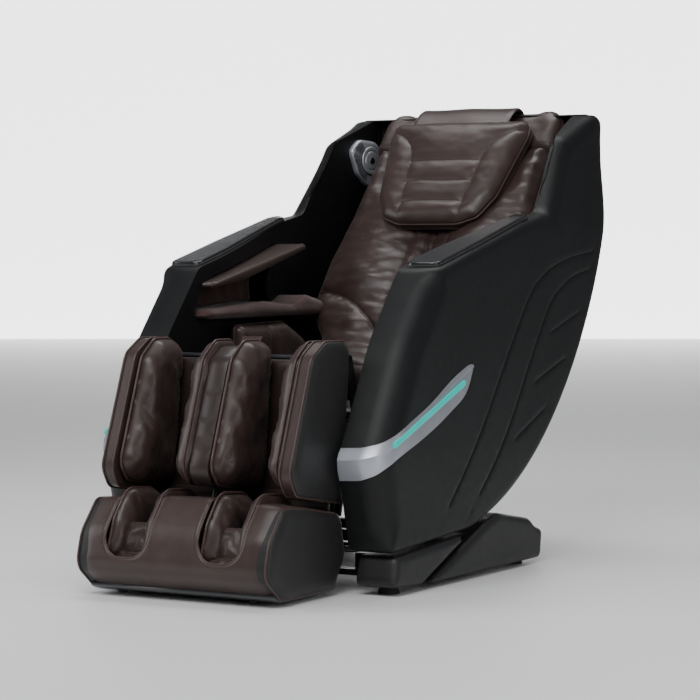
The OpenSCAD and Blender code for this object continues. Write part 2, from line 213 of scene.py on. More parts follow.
def moulded(name, base, worn, rough=(0.36, 0.5), grain=1500.0, strength=0.35, spec=0.5):
    n = Nodes(name)
    n.colour(n.noise(5, 3), (0.35, base), (0.75, worn))
    n.roughness(n.noise(40, 3), *rough)
    n.bump(n.sum(n.voronoi(grain), n.noise(grain * 0.8, 2), 0.6), strength, 0.0005)
    return n.finish(**{"Specular IOR Level": spec})


def glossy(name, colour, rough=(0.12, 0.2)):
    n = Nodes(name)
    n.colour(n.noise(7), (0.3, colour), (0.8, tuple(c * 1.5 for c in colour)))
    n.roughness(n.noise(60, 3), *rough)
    n.bump(n.noise(350, 2), 0.03, 0.0003)
    return n.finish(**{"Coat Weight": 0.3, "Coat Roughness": 0.1})


def metal(name, colour, rough=(0.25, 0.38), metallic=1.0, grain=700):
    n = Nodes(name)
    n.colour(n.noise(14), (0.3, tuple(c * 0.86 for c in colour)), (0.7, colour))
    n.roughness(n.noise(90, 3), *rough)
    n.bump(n.noise(grain, 2), 0.06, 0.0003)
    return n.finish(Metallic=metallic)


def woven(name, dark, light, pitch=420.0):
    n = Nodes(name)
    cells = n.voronoi(pitch, "F1")
    n.colour(cells, (0.25, light), (0.62, dark))
    n.bump(cells, 0.9, 0.0012)
    return n.finish(Roughness=0.75, **{"Sheen Weight": 0.3})


def glowing(name, colour, power):
    n = Nodes(name)
    pale = tuple(0.6 * c for c in colour)
    n.colour(n.noise(20), (0.3, tuple(0.4 * c for c in colour)), (0.7, pale))
    return n.finish(Roughness=0.35, **{"Emission Color": (*colour, 1), "Emission Strength": power})


def make_materials():
    return {
        "leather": leather("leather", (0.032, 0.0175, 0.0155), (0.047, 0.027, 0.0235)),
        "leather_fine": leather("leather_fine", (0.036, 0.02, 0.0175), (0.05, 0.029, 0.0255), 1300.0),
        # painted shade: the brown leather darkened, for the recessed parts of the leg rest and foot wells
        # where shade falls
        "painted_shade": leather("shade_leather", (0.02, 0.011, 0.01), (0.03, 0.017, 0.015)),
        "mesh": woven("mesh_fabric", (0.03, 0.008, 0.007), (0.105, 0.032, 0.027)),
        "plastic": moulded("black_textured", (0.0042, 0.0047, 0.0052), (0.006, 0.0066, 0.0072), spec=0.32),
        "plain": moulded("black_plain", (0.012, 0.012, 0.013), (0.017, 0.017, 0.018), (0.42, 0.55), 2200.0,
                         0.12),
        "gloss": glossy("black_satin", (0.009, 0.009, 0.01), (0.14, 0.22)),
        "silver": metal("silver_paint", (0.5, 0.52, 0.57), (0.34, 0.44), 0.6),
        "steel": metal("ground_steel", (0.55, 0.55, 0.57), (0.3, 0.42)),
        "dark_steel": metal("burnished_steel", (0.07, 0.07, 0.075), (0.36, 0.48)),
        "coat": moulded("powder_coat", (0.014, 0.014, 0.016), (0.02, 0.02, 0.022), (0.4, 0.52), 1200.0, 0.2),
        "rubber": moulded("rubber", (0.011, 0.011, 0.011), (0.017, 0.017, 0.017), (0.62, 0.78), 900.0, 0.25),
        "thread": moulded("thread", (0.11, 0.065, 0.052), (0.15, 0.09, 0.075), (0.5, 0.6), 3000.0, 0.1),
        "piping": leather("piping_leather", (0.05, 0.026, 0.022), (0.075, 0.042, 0.036), 1500.0, (0.28, 0.4)),
        "glow": glowing("light_bar", (0.0, 0.5, 0.45), 0.75),
        "side_skin": leather("side_skin", (0.006, 0.006, 0.0066), (0.0095, 0.0095, 0.0102), 1100.0,
                             (0.44, 0.56)),
        "tray": glossy("under_tray", (0.05, 0.052, 0.056), (0.25, 0.35)),
    }


# ---------------------------------------------------------------- outlines, in millimetres
def corner(a, b, c, r, n):
    a, b, c = (np.array(p[:2], float) for p in (a, b, c))
    if r < 0.1:
        return [b]
    u, w = (a - b) / np.linalg.norm(a - b), (c - b) / np.linalg.norm(c - b)
    half = math.acos(max(-1, min(1, float(u @ w)))) / 2
    m = b + (u + w) / np.linalg.norm(u + w) * r / math.sin(half)
    p, q = b + u * r / math.tan(half), b + w * r / math.tan(half)
    a0 = math.atan2(*(p - m)[::-1])
    turn = (math.atan2(*(q - m)[::-1]) - a0 + math.pi) % (2 * math.pi) - math.pi
    angles = (a0 + turn * i / n for i in range(n + 1))
    return [m + r * np.array([math.cos(t), math.sin(t)]) for t in angles]


def rounded(points, n=8):
    """A closed outline with its corners rounded: each point is (u, v, radius)."""
    k = len(points)
    corners = (corner(points[i - 1], points[i], points[(i + 1) % k], points[i][2], n) for i in range(k))
    return np.array([p for arc in corners for p in arc])


def flipped(line):
    """A line's mirror image on the other side of the chair."""
    return [(-x, v) for x, v in line]


def symmetric(half, n=8):
    """A rounded outline from its right half, which starts at the bottom."""
    return rounded([[-x, v, r] for x, v, r in half] + [[x, v, r] for x, v, r in half[::-1]], n)


def circle(centre, r, n):
    a = np.linspace(0, 2 * math.pi, n, endpoint=False)
    return np.asarray(centre) + r * np.stack([np.cos(a), np.sin(a)], 1)


def bezier(a, b, c, d, n):
    t = np.linspace(0, 1, n + 1)[:, None]
    a, b, c, d = (np.array(p, float) for p in (a, b, c, d))
    return (1 - t) ** 3 * a + 3 * (1 - t) ** 2 * t * b + 3 * (1 - t) * t * t * c + t**3 * d


def resample(points, step, closed=True):
    p = np.asarray(points, float)
    if closed:
        p = np.vstack([p, p[:1]])
    seg = np.linalg.norm(np.diff(p, axis=0), axis=1)
    at = np.concatenate([[0], np.cumsum(seg)])
    count = max(3, int(round(at[-1] / step)))
    want = np.linspace(0, at[-1], count + 1)
    if closed:
        want = want[:-1]
    return np.stack([np.interp(want, at, p[:, i]) for i in range(p.shape[1])], 1)


def smooth_line(points, step=6.0, closed=False, rounds=2):
    """Chaikin-smooths a polyline, then spaces it evenly."""
    p = np.asarray(points, float)
    for _ in range(rounds):
        q = np.roll(p, -1, 0) if closed else p[1:]
        r = p if closed else p[:-1]
        new = np.stack([0.75 * r + 0.25 * q, 0.25 * r + 0.75 * q], 1).reshape(-1, p.shape[1])
        p = new if closed else np.vstack([p[:1], new, p[-1:]])
    return resample(p, step, closed)


def distance(points, line, closed=False):
    """Distance from each 2D point to a polyline."""
    line = np.asarray(line, float)
    a, b = (line, np.roll(line, -1, 0)) if closed else (line[:-1], line[1:])
    best = np.full(len(points), 1e9)
    for p, q in zip(a, b):
        d = q - p
        t = np.clip((points - p) @ d / max(d @ d, 1e-9), 0, 1)
        best = np.minimum(best, np.linalg.norm(points - p - t[:, None] * d, axis=1))
    return best


def inside(points, outline):
    x, y = points[:, 0], points[:, 1]
    hit = np.zeros(len(points), bool)
    for (x0, y0), (x1, y1) in zip(outline, np.roll(outline, -1, 0)):
        if y0 != y1:
            hit ^= ((y0 > y) != (y1 > y)) & (x < (x1 - x0) * (y - y0) / (y1 - y0) + x0)
    return hit


def shifted(outline, d):
    """The outline's points moved inwards by d along their normals, for either direction of travel."""
    p = np.asarray(outline, float)
    t = np.roll(p, -1, 0) - np.roll(p, 1, 0)
    n = np.stack([t[:, 1], -t[:, 0]], 1) / np.maximum(np.linalg.norm(t, axis=1), 1e-9)[:, None]
    area = np.sum(p[:, 0] * np.roll(p[:, 1], -1) - np.roll(p[:, 0], -1) * p[:, 1])
    return p + n * d * (1 if area < 0 else -1)


def fill(outline, step, rings=(), lines=(), line_offsets=(0,)):
    """Triangulates a closed outline with rings of points beside its edge and beside inner lines."""
    edge = resample(outline, step)
    fixed = [edge]
    for d in rings:
        ring = shifted(edge, d)
        ring = ring[inside(ring, edge) & (distance(ring, edge, True) > d * 0.93)]
        fixed.append(ring)
    inner = max(rings) if len(rings) else 0
    for line in lines:
        p = resample(line, step * 0.8, False)
        t = np.gradient(p, axis=0)
        n = np.stack([t[:, 1], -t[:, 0]], 1) / np.maximum(np.linalg.norm(t, axis=1), 1e-9)[:, None]
        for o in line_offsets:
            q = p + n * o
            fixed.append(q[inside(q, edge) & (distance(q, edge, True) > inner + step * 0.35)])
    low, high = edge.min(0), edge.max(0)
    gx, gy = np.meshgrid(np.arange(low[0], high[0], step), np.arange(low[1], high[1], step * 0.866))
    gx = gx + (np.arange(gx.shape[0])[:, None] % 2) * step / 2
    grid = np.stack([gx.ravel(), gy.ravel()], 1)
    grid = grid[inside(grid, edge)]
    grid = grid[distance(grid, edge, True) > inner + step * 0.55]
    reach = max(line_offsets) + step * 0.5
    for line in lines:
        grid = grid[distance(grid, line) > reach]
    points = np.vstack(fixed + [grid])
    count = len(edge)
    loop = [(i, (i + 1) % count) for i in range(count)]
    verts, _, faces, *_ = delaunay_2d_cdt([Vector(p) for p in points], loop, [], 0, 0.05)
    verts = np.array([tuple(v) for v in verts])
    tri = np.array([f for f in faces if len(f) == 3])
    tri = tri[inside(verts[tri].mean(1), edge)]
    used = np.unique(tri)
    renumber = np.full(len(verts), -1)
    renumber[used] = np.arange(len(used))
    verts, tri = verts[used], renumber[tri]
    rim = [int(np.argmin(((verts - e) ** 2).sum(1))) for e in edge]
    return verts, tri, rim


# ---------------------------------------------------------------- planes that pieces are drawn on
class Plane:
    """Maps (u, v, h) in millimetres to a point in metres."""

    def __init__(self, origin, u, v, h):
        self.o, self.u, self.v, self.h = (np.array(a, float) for a in (origin, u, v, h))

    def at(self, uv, h):
        uv = np.asarray(uv, float)
        h = np.broadcast_to(np.asarray(h, float), (len(uv),))
        return (self.o + uv[:, :1] * self.u + uv[:, 1:2] * self.v + h[:, None] * self.h) * MM



SIDE = Plane((0, 0, 0), (0, 1, 0), (0, 0, 1), (1, 0, 0))
INWARD = Plane((0, 0, 0), (0, 1, 0), (0, 0, 1), (-1, 0, 0))
CROSS = Plane((0, 0, 0), (1, 0, 0), (0, 0, 1), (0, 1, 0))
PLAN = Plane((0, 0, 0), (1, 0, 0), (0, 1, 0), (0, 0, 1))
BACK = Plane((0, *BACK_ORIGIN), (1, 0, 0), (0, *BACK_DIR), (0, *BACK_FRONT))


def new_object(name, verts, faces, mat):
    mesh = bpy.data.meshes.new(name)
    mesh.from_pydata([tuple(v) for v in verts], [], [tuple(int(i) for i in f) for f in faces])
    mesh.validate()
    obj = bpy.data.objects.new(name, mesh)
    bpy.context.scene.collection.objects.link(obj)
    mesh.materials.append(mat)
    mesh.polygons.foreach_set("use_smooth", [True] * len(mesh.polygons))
    bm = bmesh.new()
    bm.from_mesh(mesh)
    bmesh.ops.recalc_face_normals(bm, faces=bm.faces)
    bm.to_mesh(mesh)
    bm.free()
    return obj


def sharpen(obj, angle):
    """Keeps creases above an angle sharp in a smooth-shaded mesh."""
    obj.data.set_sharp_from_angle(angle=math.radians(angle))


def solid(name, plane, outline, front, back, step, mat, rings=(), lines=(), offsets=(0,), wall=2):
    """A closed solid between two height fields, which take (points, edge distance), over one outline."""
    pts, tri, rim = fill(outline, step, rings, lines, offsets)
    d = distance(pts, resample(outline, step), True)
    top, bottom = plane.at(pts, front(pts, d)), plane.at(pts, back(pts, d))
    n, count = len(pts), len(rim)
    verts = [top, bottom]
    loops = [np.array(rim)]
    start = 2 * n
    for k in range(1, wall):
        t = k / wall
        verts.append(top[rim] * (1 - t) + bottom[rim] * t)
        loops.append(np.arange(start, start + count))
        start += count
    loops.append(np.array(rim) + n)
    faces = [tuple(f) for f in tri] + [tuple(f[::-1] + n) for f in tri]
    for a, b in zip(loops, loops[1:]):
        for i in range(count):
            j = (i + 1) % count
            faces.append((a[i], b[i], b[j], a[j]))
    return new_object(name, np.vstack(verts), faces, mat)


def flat(height):
    """A height field that is level."""
    return lambda p, d: np.full(len(p), float(height))


def crown(height, reach, base=0.0):
    """A cushion's rise from its edge: a quarter ellipse, reach wide and height high."""
    return lambda p, d: base + height * np.sqrt(1 - (1 - np.clip(d / reach, 0, 1)) ** 2)


def sunk(height, reach, base):
    """The same rise on the far side of a piece that is symmetric about its plane."""
    return lambda p, d: -crown(height, reach, base)(p, d)


def soft_rise(d, reach):
    """0 at the edge to 1 at reach, a little fuller than a circle."""
    return np.sqrt(np.clip(1 - (1 - np.clip(d / reach, 0, 1)) ** 2.2, 0, 1))


def dent(near, width):
    return np.exp(-((near / width) ** 2))


def rumple(points, scale, amount, seed=0.0, stretch=(1, 1)):
    """Smooth wrinkles: ridged noise over 2D points in millimetres."""
    out = np.empty(len(points))
    for i, (u, v) in enumerate(points):
        p = Vector((u * stretch[0] / scale, v * stretch[1] / scale, seed))
        out[i] = noise.fractal(p, 1.0, 2.0, 3)
    return out * amount


def tube(name, points, radius, mat, closed=False, sides=8):
    """A round bead or tube along points in metres."""
    p = np.asarray(points, float)
    t = (np.roll(p, -1, 0) - np.roll(p, 1, 0)) if closed else np.gradient(p, axis=0)
    t /= np.maximum(np.linalg.norm(t, axis=1), 1e-12)[:, None]
    ref = np.array([0.31, 0.42, 0.85])
    side = np.cross(t[0], ref)
    side /= np.linalg.norm(side)
    rings = []
    for i in range(len(p)):
        side = side - t[i] * (side @ t[i])
        side /= np.linalg.norm(side)
        up = np.cross(t[i], side)
        a = np.linspace(0, 2 * math.pi, sides, endpoint=False)
        rings.append(p[i] + radius * (np.cos(a)[:, None] * side + np.sin(a)[:, None] * up))
    verts = np.vstack(rings)
    faces = []
    count = len(p)
    for i in range(count if closed else count - 1):
        j = (i + 1) % count
        for k in range(sides):
            m = (k + 1) % sides
            faces.append((i * sides + k, i * sides + m, j * sides + m, j * sides + k))
    if not closed:
        faces += [tuple(range(sides)), tuple((count - 1) * sides + k for k in range(sides))]
    return new_object(name, verts, faces, mat)


def stitches(name, points, mat, normal, length=0.0042, gap=0.0024, radius=0.00062):
    """A row of thread stitches laid along points in metres, raised a little along normal."""
    line = resample(points, (length + gap), False)
    n = np.array(normal, float)
    n /= np.linalg.norm(n)
    verts, faces = [], []
    for a, b in zip(line[:-1], line[1:]):
        t = (b - a) / max(np.linalg.norm(b - a), 1e-9)
        s = np.cross(t, n)
        s /= max(np.linalg.norm(s), 1e-9)
        mid, half = (a + b) / 2, length / 2
        base = len(verts)
        for at, r in ((-half, 0.25), (-half * 0.6, 1), (half * 0.6, 1), (half, 0.25)):
            c = mid + t * at
            lift = radius * 1.1 if r == 1 else 0
            for x, z in ((-1, 0), (0, 1), (1, 0), (0, -1)):
                verts.append(c + s * radius * r * x + n * (radius * r * z + lift * 0.5))
        for k in range(3):
            for m in range(4):
                o = base + 4 * k
                faces.append((o + m, o + (m + 1) % 4, o + 4 + (m + 1) % 4, o + 4 + m))
        faces += [tuple(base + m for m in range(4)), tuple(base + 12 + m for m in range(4))]
    return new_object(name, verts, faces, mat)


def dropped(obj, points, direction, lift=0.0):
    """Points (metres) moved along direction onto obj's surface, then back by lift."""
    bm = bmesh.new()
    bm.from_mesh(obj.data)
    tree = BVHTree.FromBMesh(bm)
    bm.free()
    d = Vector(direction).normalized()
    out = []
    for p in points:
        hit = tree.ray_cast(Vector(p) - d * 0.2, d)
        out.append(np.array(hit[0] - d * lift) if hit[0] is not None else np.array(p))
    return np.array(out)


def mirrored(obj, name):
    """A copy of obj on the other side of the chair."""
    data = obj.data.copy()
    data.name = name
    twin = bpy.data.objects.new(name, data)
    bpy.context.scene.collection.objects.link(twin)
    for v in data.vertices:
        v.co.x = -v.co.x
    bm = bmesh.new()
    bm.from_mesh(data)
    bmesh.ops.reverse_faces(bm, faces=bm.faces)
    bm.to_mesh(data)
    bm.free()
    return twin


def join(name, objs):
    """Joins meshes into one object."""
    bpy.context.view_layer.update()
    bpy.ops.object.select_all(action="DESELECT")
    for o in objs:
        o.select_set(True)
    bpy.context.view_layer.objects.active = objs[0]
    bpy.ops.object.join()
    objs[0].name = name
    return objs[0]


def smoothed(move, edges, rounds=4, share=0.6):
    """Averages each vertex's move with its neighbours' moves."""
    count = np.maximum(np.bincount(edges.ravel(), minlength=len(move)), 1)[:, None]
    for _ in range(rounds):
        total = np.zeros_like(move)
        np.add.at(total, edges[:, 0], move[edges[:, 1]])
        np.add.at(total, edges[:, 1], move[edges[:, 0]])
        move = (1 - share) * move + share * total / count
    return move


def puff(obj, cap, pins=(), stiffness=12.0, frames=20):
    """Inflates a closed mesh as cloth, holds the points in pins, and keeps every point within cap metres."""
    before = np.array([v.co for v in obj.data.vertices])
    mod = obj.modifiers.new("puff", "CLOTH")
    s = mod.settings
    s.quality, s.mass = 6, 0.25
    s.tension_stiffness = s.compression_stiffness = stiffness
    s.shear_stiffness, s.bending_stiffness = stiffness * 0.6, 0.35
    s.use_pressure, s.uniform_pressure_force = True, PUFF_PRESSURE
    s.effector_weights.gravity = 0
    mod.collision_settings.use_collision = False
    if len(pins):
        group = obj.vertex_groups.new(name="pin")
        group.add([int(i) for i in pins], 1.0, "REPLACE")
        s.vertex_group_mass = "pin"
    mod.point_cache.frame_start, mod.point_cache.frame_end = 1, frames
    scene = bpy.context.scene
    for f in range(1, frames + 1):
        scene.frame_set(f)
    ev = obj.evaluated_get(bpy.context.evaluated_depsgraph_get())
    after = np.array([v.co for v in ev.data.vertices])
    obj.modifiers.remove(mod)
    scene.frame_set(1)
    if len(after) != len(before) or not np.isfinite(after).all():
        return
    move = smoothed(after - before, np.array([e.vertices[:] for e in obj.data.edges]))
    far = np.linalg.norm(move, axis=1)
    move *= (np.minimum(far, cap) / np.maximum(far, 1e-9))[:, None]
    obj.data.vertices.foreach_set("co", (before + move).astype(np.float32).ravel())
    obj.data.update()


def on_back(v):
    """(x, s) on the backrest plane of points in millimetres."""
    return np.stack([v[:, 0], (v[:, 1:] - BACK_ORIGIN) @ BACK_DIR], 1)


def near_seams(obj, to_plane, outline, lines, reach):
    """Indices of vertices within reach of the outline or of any sewn line."""
    uv = to_plane(np.array([v.co for v in obj.data.vertices]) / MM)
    best = np.minimum(np.full(len(uv), 1e9), distance(uv, outline, True))
    for line in lines:
        best = np.minimum(best, distance(uv, line))
    return np.nonzero(best < reach)[0]


def place(obj, body, *nodes, slot, fill_level=None):
    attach(obj, body)
    if nodes:
        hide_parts(*nodes)


def place_pair(right, body, node, slot, fill_level=None):
    """Places a right-hand piece and its mirror image; node is the CAD part's name without its side."""
    name = right.name.replace("right", "left") if "right" in right.name else right.name + "_left"
    left = mirrored(right, name)
    for obj, side in ((right, "_right"), (left, "_left")):
        place(obj, body, *([node + side] if node else []), slot=slot, fill_level=fill_level)


# ---------------------------------------------------------------- shared outlines
def smooth01(t):
    t = np.clip(t, 0, 1)
    return t * t * (3 - 2 * t)


REAR = bezier([768, 1092], [797, 675], [355, 155], [-66, 121], 40)
SHELL = np.vstack([rounded([
    [-66, 121, 0], [-446, 99, 26], [-500, 314, 60], [-352, 583, 300], [-212, 750, 44], [240, 862, 500],
    [396, 890, 46], [545, 1088, 44], [712, 1152, 90], [772, 1160, 30], [768, 1092, 0]]), REAR[1:-1]])
CAVE = rounded([[-226, 624, 10], [-218, 664, 30], [-186, 700, 30], [-148, 728, 20], [262, 816, 16],
                [196, 742, 60], [168, 690, 40], [204, 650, 40], [352, 644, 14], [352, 624, 8]], 5)
CALF = rounded([[-438, 210, 6], [-640, 242, 30], [-668, 290, 40], [-570, 552, 40], [-512, 586, 30],
                [-432, 586, 20], [-402, 564, 10]])
BAG = rounded([[-462, 236, 20], [-626, 258, 26], [-656, 300, 40], [-566, 546, 34], [-514, 584, 30],
               [-446, 584, 24], [-424, 556, 14]])
FOOT = rounded([[-470, 16, 26], [-700, 13, 40], [-774, 72, 44], [-752, 150, 80], [-690, 222, 26],
                [-600, 214, 100], [-440, 186, 30], [-420, 90, 50]])
GROOVES = [
    [(672, 792), (519, 777), (391, 749), (332, 721), (280, 694), (154, 547), (-14, 330), (-236, 114)],
    [(651, 747), (525, 727), (440, 691), (392, 661), (357, 621), (293, 542), (123, 311), (-76, 139)],
    [(589, 640), (397, 585)], [(490, 520), (305, 462)], [(376, 399), (196, 328)]]


def x_inner(y):
    """The inner face of the arm and shoulder: it flares behind the arm and closes in at the head."""
    return ARM_IN + 60 * smooth01((y + 150) / 526) - 36 * smooth01((y - 440) / 300)


def skin_lean(z):
    return 25 * smooth01((z - 830) / 230) + 5 * smooth01((330 - z) / 230)


def edge_radii(edge):
    """The rounding of the side panel's outer edge, for each point of its outline."""
    y, z = edge[:, 0], edge[:, 1]
    r = np.full(len(edge), 24.0)
    r[(y < -180) & (z > 130)] = 62
    r[(z > 742) & (y < 380)] = 20
    r[(y > 380) & (z > 860) & (y < 700)] = 42
    r[(z < 130) & (y < 0)] = 12
    for _ in range(5):
        r = (np.roll(r, 1) + r + np.roll(r, -1)) / 3
    return r


def nearest(points, line):
    out = np.empty(len(points), int)
    for i in range(0, len(points), 2000):
        out[i:i + 2000] = ((points[i:i + 2000, None] - line[None]) ** 2).sum(2).argmin(1)
    return out


def skin_x(points, d, edge, radii):
    r = radii[nearest(points, edge)]
    t = np.clip(d / r, 0, 1)
    return SKIN_X - r * (1 - np.sqrt(1 - (1 - t) ** 2)) - skin_lean(points[:, 1])


def thicken(name, verts, faces, amount, mat):
    """A thin closed solid from an open surface; amount in metres goes against the face normals."""
    v, n = np.asarray(verts, float), np.zeros((len(verts), 3))
    edges = {}
    for f in faces:
        a, b, c = v[f[0]], v[f[1]], v[f[2]]
        normal = np.cross(b - a, c - a)
        for i, p in enumerate(f):
            n[p] += normal
            q = f[(i + 1) % len(f)]
            edges[(p, q)] = edges.get((p, q), 0) + 1
    n /= np.maximum(np.linalg.norm(n, axis=1), 1e-15)[:, None]
    count = len(v)
    every = [tuple(f) for f in faces] + [tuple(p + count for p in reversed(f)) for f in faces]
    for (p, q) in list(edges):
        if (q, p) not in edges:
            every.append((q, p, p + count, q + count))
    return new_object(name, np.vstack([v, v - n * amount]), every, mat)


def faced(verts, faces, sign):
    """The faces, turned over where the first one looks away from x * sign."""
    a, b, c = (verts[i] for i in faces[0])
    return faces if np.cross(b - a, c - a)[0] * sign >= 0 else [f[::-1] for f in faces]


def make_side_cover(m):
    """The outer skin of one side with its sewn-looking grooves, rolled round the edge to the inner face."""
    edge = resample(SHELL, 12)
    lines = [smooth_line(g, 8) if len(g) > 2 else resample(g, 8, False) for g in GROOVES]
    pts, tri, rim = fill(SHELL, 12, (1.5, 4, 8, 13, 20, 29, 40, 52, 64), lines, (-5, -2.2, 0, 2.2, 5))
    d = distance(pts, edge, True)
    x = skin_x(pts, d, edge, edge_radii(edge))
    for k, line in enumerate(lines):
        x -= (2.6 if k < 2 else 2.0) * dent(distance(pts, line), 2.4)
    x -= 0.88 * smooth01((d - 70) / 80) * smooth01((pts[:, 1] - 150) / 120)
    verts, loops, start = [SIDE.at(pts, x)], [np.array(rim)], len(pts)
    ring = pts[rim]
    inner = x_inner(ring[:, 0])
    towards = shifted(ring, 1.0) - ring
    # each step: how far across the edge, then how far in from it
    for share, inset in ((0.5, 0), (0.93, 0), (1.0, 0.6), (1.0, 3.0), (1.0, 9.0), (1.0, 20.0)):
        at = x[rim] * (1 - share) + (inner + (3.0 if share < 1 else 0)) * share
        verts.append(SIDE.at(ring + towards * inset, at))
        loops.append(np.arange(start, start + len(rim)))
        start += len(rim)
    faces = [tuple(f) for f in tri]
    for a, b in zip(loops, loops[1:]):
        for i in range(len(rim)):
            j = (i + 1) % len(rim)
            faces.append((a[i], a[j], b[j], b[i]))
    verts = np.vstack(verts)
    cover = thicken("cover_right", verts, faced(verts, faces, 1), 0.003, m["plastic"])
    sharpen(cover, 50)
    return cover


def make_side_liner(m):
    """The inner face inside the lip, sunk into the arm where its opening is."""
    edge = resample(SHELL, 12)
    lining = shifted(edge, 14)
    lining = lining[distance(lining, edge, True) > 12.5]
    cave = np.vstack([CAVE, CAVE[:1]])
    pts, tri, _ = fill(lining, 14, (3,), [cave], (-9, -4, -1.5, 0, 1.5, 5))
    near = distance(pts, CAVE, True)
    deep = inside(pts, CAVE)
    depth = np.where(deep, smooth01((near + 0.4) / 1.6), 0.0)
    face_x = x_inner(pts[:, 0]) + 1.2 + np.where(deep, 0, 2.5 * (1 - smooth01(near / 8)))
    verts = SIDE.at(pts, face_x * (1 - depth) + (SKIN_X - 18) * depth)
    liner = thicken("liner_right", verts, faced(verts, [tuple(f) for f in tri], -1), 0.0025, m["plastic"])
    sharpen(liner, 42)
    return liner


def make_side(m):
    cover, liner = make_side_cover(m), make_side_liner(m)
    place_pair(cover, "shell", "side_panel", "black_textured")
    place_pair(liner, "shell", "inner_panel", "black_textured")


def make_arm_trim(m):
    slope = np.array([0.9705, 0.2414])
    plane = Plane((0, -178, 761), (1, 0, 0), (0, *slope), (0, -slope[1], slope[0]))
    outline = rounded([[292, -20, 14], [380, -18, 20], [384, 200, 300], [380, 484, 10], [338, 484, 10],
                       [318, 300, 200], [296, 120, 200]], 6)
    top = solid("arm_top_right", plane, outline, crown(3.0, 4.0, 5.0), flat(-6), 14, m["gloss"],
                (0.6, 1.6, 3, 5))
    base = solid("arm_rim_right", plane, shifted(outline, -2.2), crown(1.2, 2.0, 1.6), flat(-7), 18,
                 m["plain"], (0.8, 2.2))
    sharpen(top, 40)
    place_pair(top, "shell", "arm_trim", "black_gloss")
    place_pair(base, "shell", None, "black_gloss")


def front_y(z):
    """The front edge of the side outline at each height."""
    p = np.vstack([SHELL, SHELL[:1]])
    out = []
    for h in np.atleast_1d(z):
        best = 0
        for a, b in zip(p[:-1], p[1:]):
            if (a[1] - h) * (b[1] - h) <= 0 and a[1] != b[1]:
                best = min(best, a[0] + (b[0] - a[0]) * (h - a[1]) / (b[1] - a[1]))
        out.append(best)
    return np.array(out)


def make_silver(m):
    """The silver band: s runs across the arm's front, round its corner and back along the side."""
    corner_start, corner_end, radius = 54, 151.4, 62.0
    s = np.concatenate([np.linspace(0, 54, 7), np.linspace(60, 151, 16), np.linspace(160, 541, 48)])
    at = [0, 54, 100, 151, 188, 364, 530, 541]
    top = np.interp(s, at, [343, 345, 356, 383, 402, 464, 523, 519])
    crease = np.interp(s, at, [315, 318, 330, 360, 386, 450, 512, 515])
    low = np.interp(s, [0, 54, 90, 120, 151, 364, 450, 486, 514, 536, 541],
                    [267, 269, 281, 299, 315, 389, 422, 438, 460, 500, 512])
    for _ in range(3):
        for row in (top, crease, low):
            row[1:-1] = (row[:-2] + 2 * row[1:-1] + row[2:]) / 4
    share = np.interp(s, [0, 100, 200], [1, 0.8, 0])
    rows = [(top, -1.5), (top - 0.6, 1.4), (top * 0.5 + crease * 0.5, 2.4 + 3 * share),
            (crease, 2.6 + 5 * share), (crease - 3.5, 1.2 + 5 * share),
            (crease * 0.5 + low * 0.5, 1.6 + 3.2 * share), (low + 0.8, 1.4), (low, -1.5)]
    verts = []
    for z, off in rows:
        y0 = front_y(z)
        a = np.clip((s - corner_start) / (radius * math.pi / 2), 0, 1) * math.pi / 2
        cx, cy = SKIN_X - radius, y0 + radius
        x = np.where(s < corner_start, np.minimum(ARM_IN + 0.5 + s, cx), cx + (radius + off) * np.sin(a))
        y = np.where(s < corner_start, y0 - off, cy - (radius + off) * np.cos(a))
        along = s - corner_end
        y = np.where(along > 0, cy + along + (-437 - cy) * smooth01(along / 320), y)
        x = np.where(along > 0, SKIN_X + off, x) - skin_lean(z)
        verts.append(np.stack([x, y, z], 1) * MM)
    band = thicken("silver_band_right", np.vstack(verts), grid_faces(len(rows), len(s)), -0.002, m["silver"])
    sharpen(band, 24)
    led = rounded([[-446, 341, 6], [-451, 355, 6], [-96, 486, 6], [-91, 472, 6]], 6)
    bar = solid("light_bar_right", SIDE, led, crown(3.0, 6, SKIN_X + 3.4), flat(SKIN_X - 0.5), 5,
                m["glow"], (0.8, 2, 3.8))
    place_pair(band, "shell", "silver_strip", "silver_paint")
    place_pair(bar, "shell", "led_bar", "led_cyan")


def grid_faces(rows, columns):
    """Quads between neighbouring rows of a grid of points."""
    return [(r * columns + i, r * columns + i + 1, (r + 1) * columns + i + 1, (r + 1) * columns + i)
            for r in range(rows - 1) for i in range(columns - 1)]


def normals(path):
    t = np.gradient(path, axis=0)
    return np.stack([-t[:, 1], t[:, 0]], 1) / np.linalg.norm(t, axis=1)[:, None]


def forward_normals(path):
    """The normals of a side-view path, towards the front of the chair."""
    n = normals(path)
    return -n if n[len(n) // 2][0] > 0 else n


def swept(name, profile, across, mat, thickness=0.003, lift=None):
    """A sheet from a (y, z) profile across x positions; lift(x, i) moves points along its normal."""
    p = np.asarray(profile, float)
    n, normal, verts = len(p), normals(p), []
    for x in across:
        raise_by = np.zeros(n) if lift is None else lift(x, np.arange(n))
        verts.append(np.column_stack([np.full(n, x), p + normal * raise_by[:, None]]) * MM)
    return thicken(name, np.vstack(verts), grid_faces(len(across), n), thickness, mat)


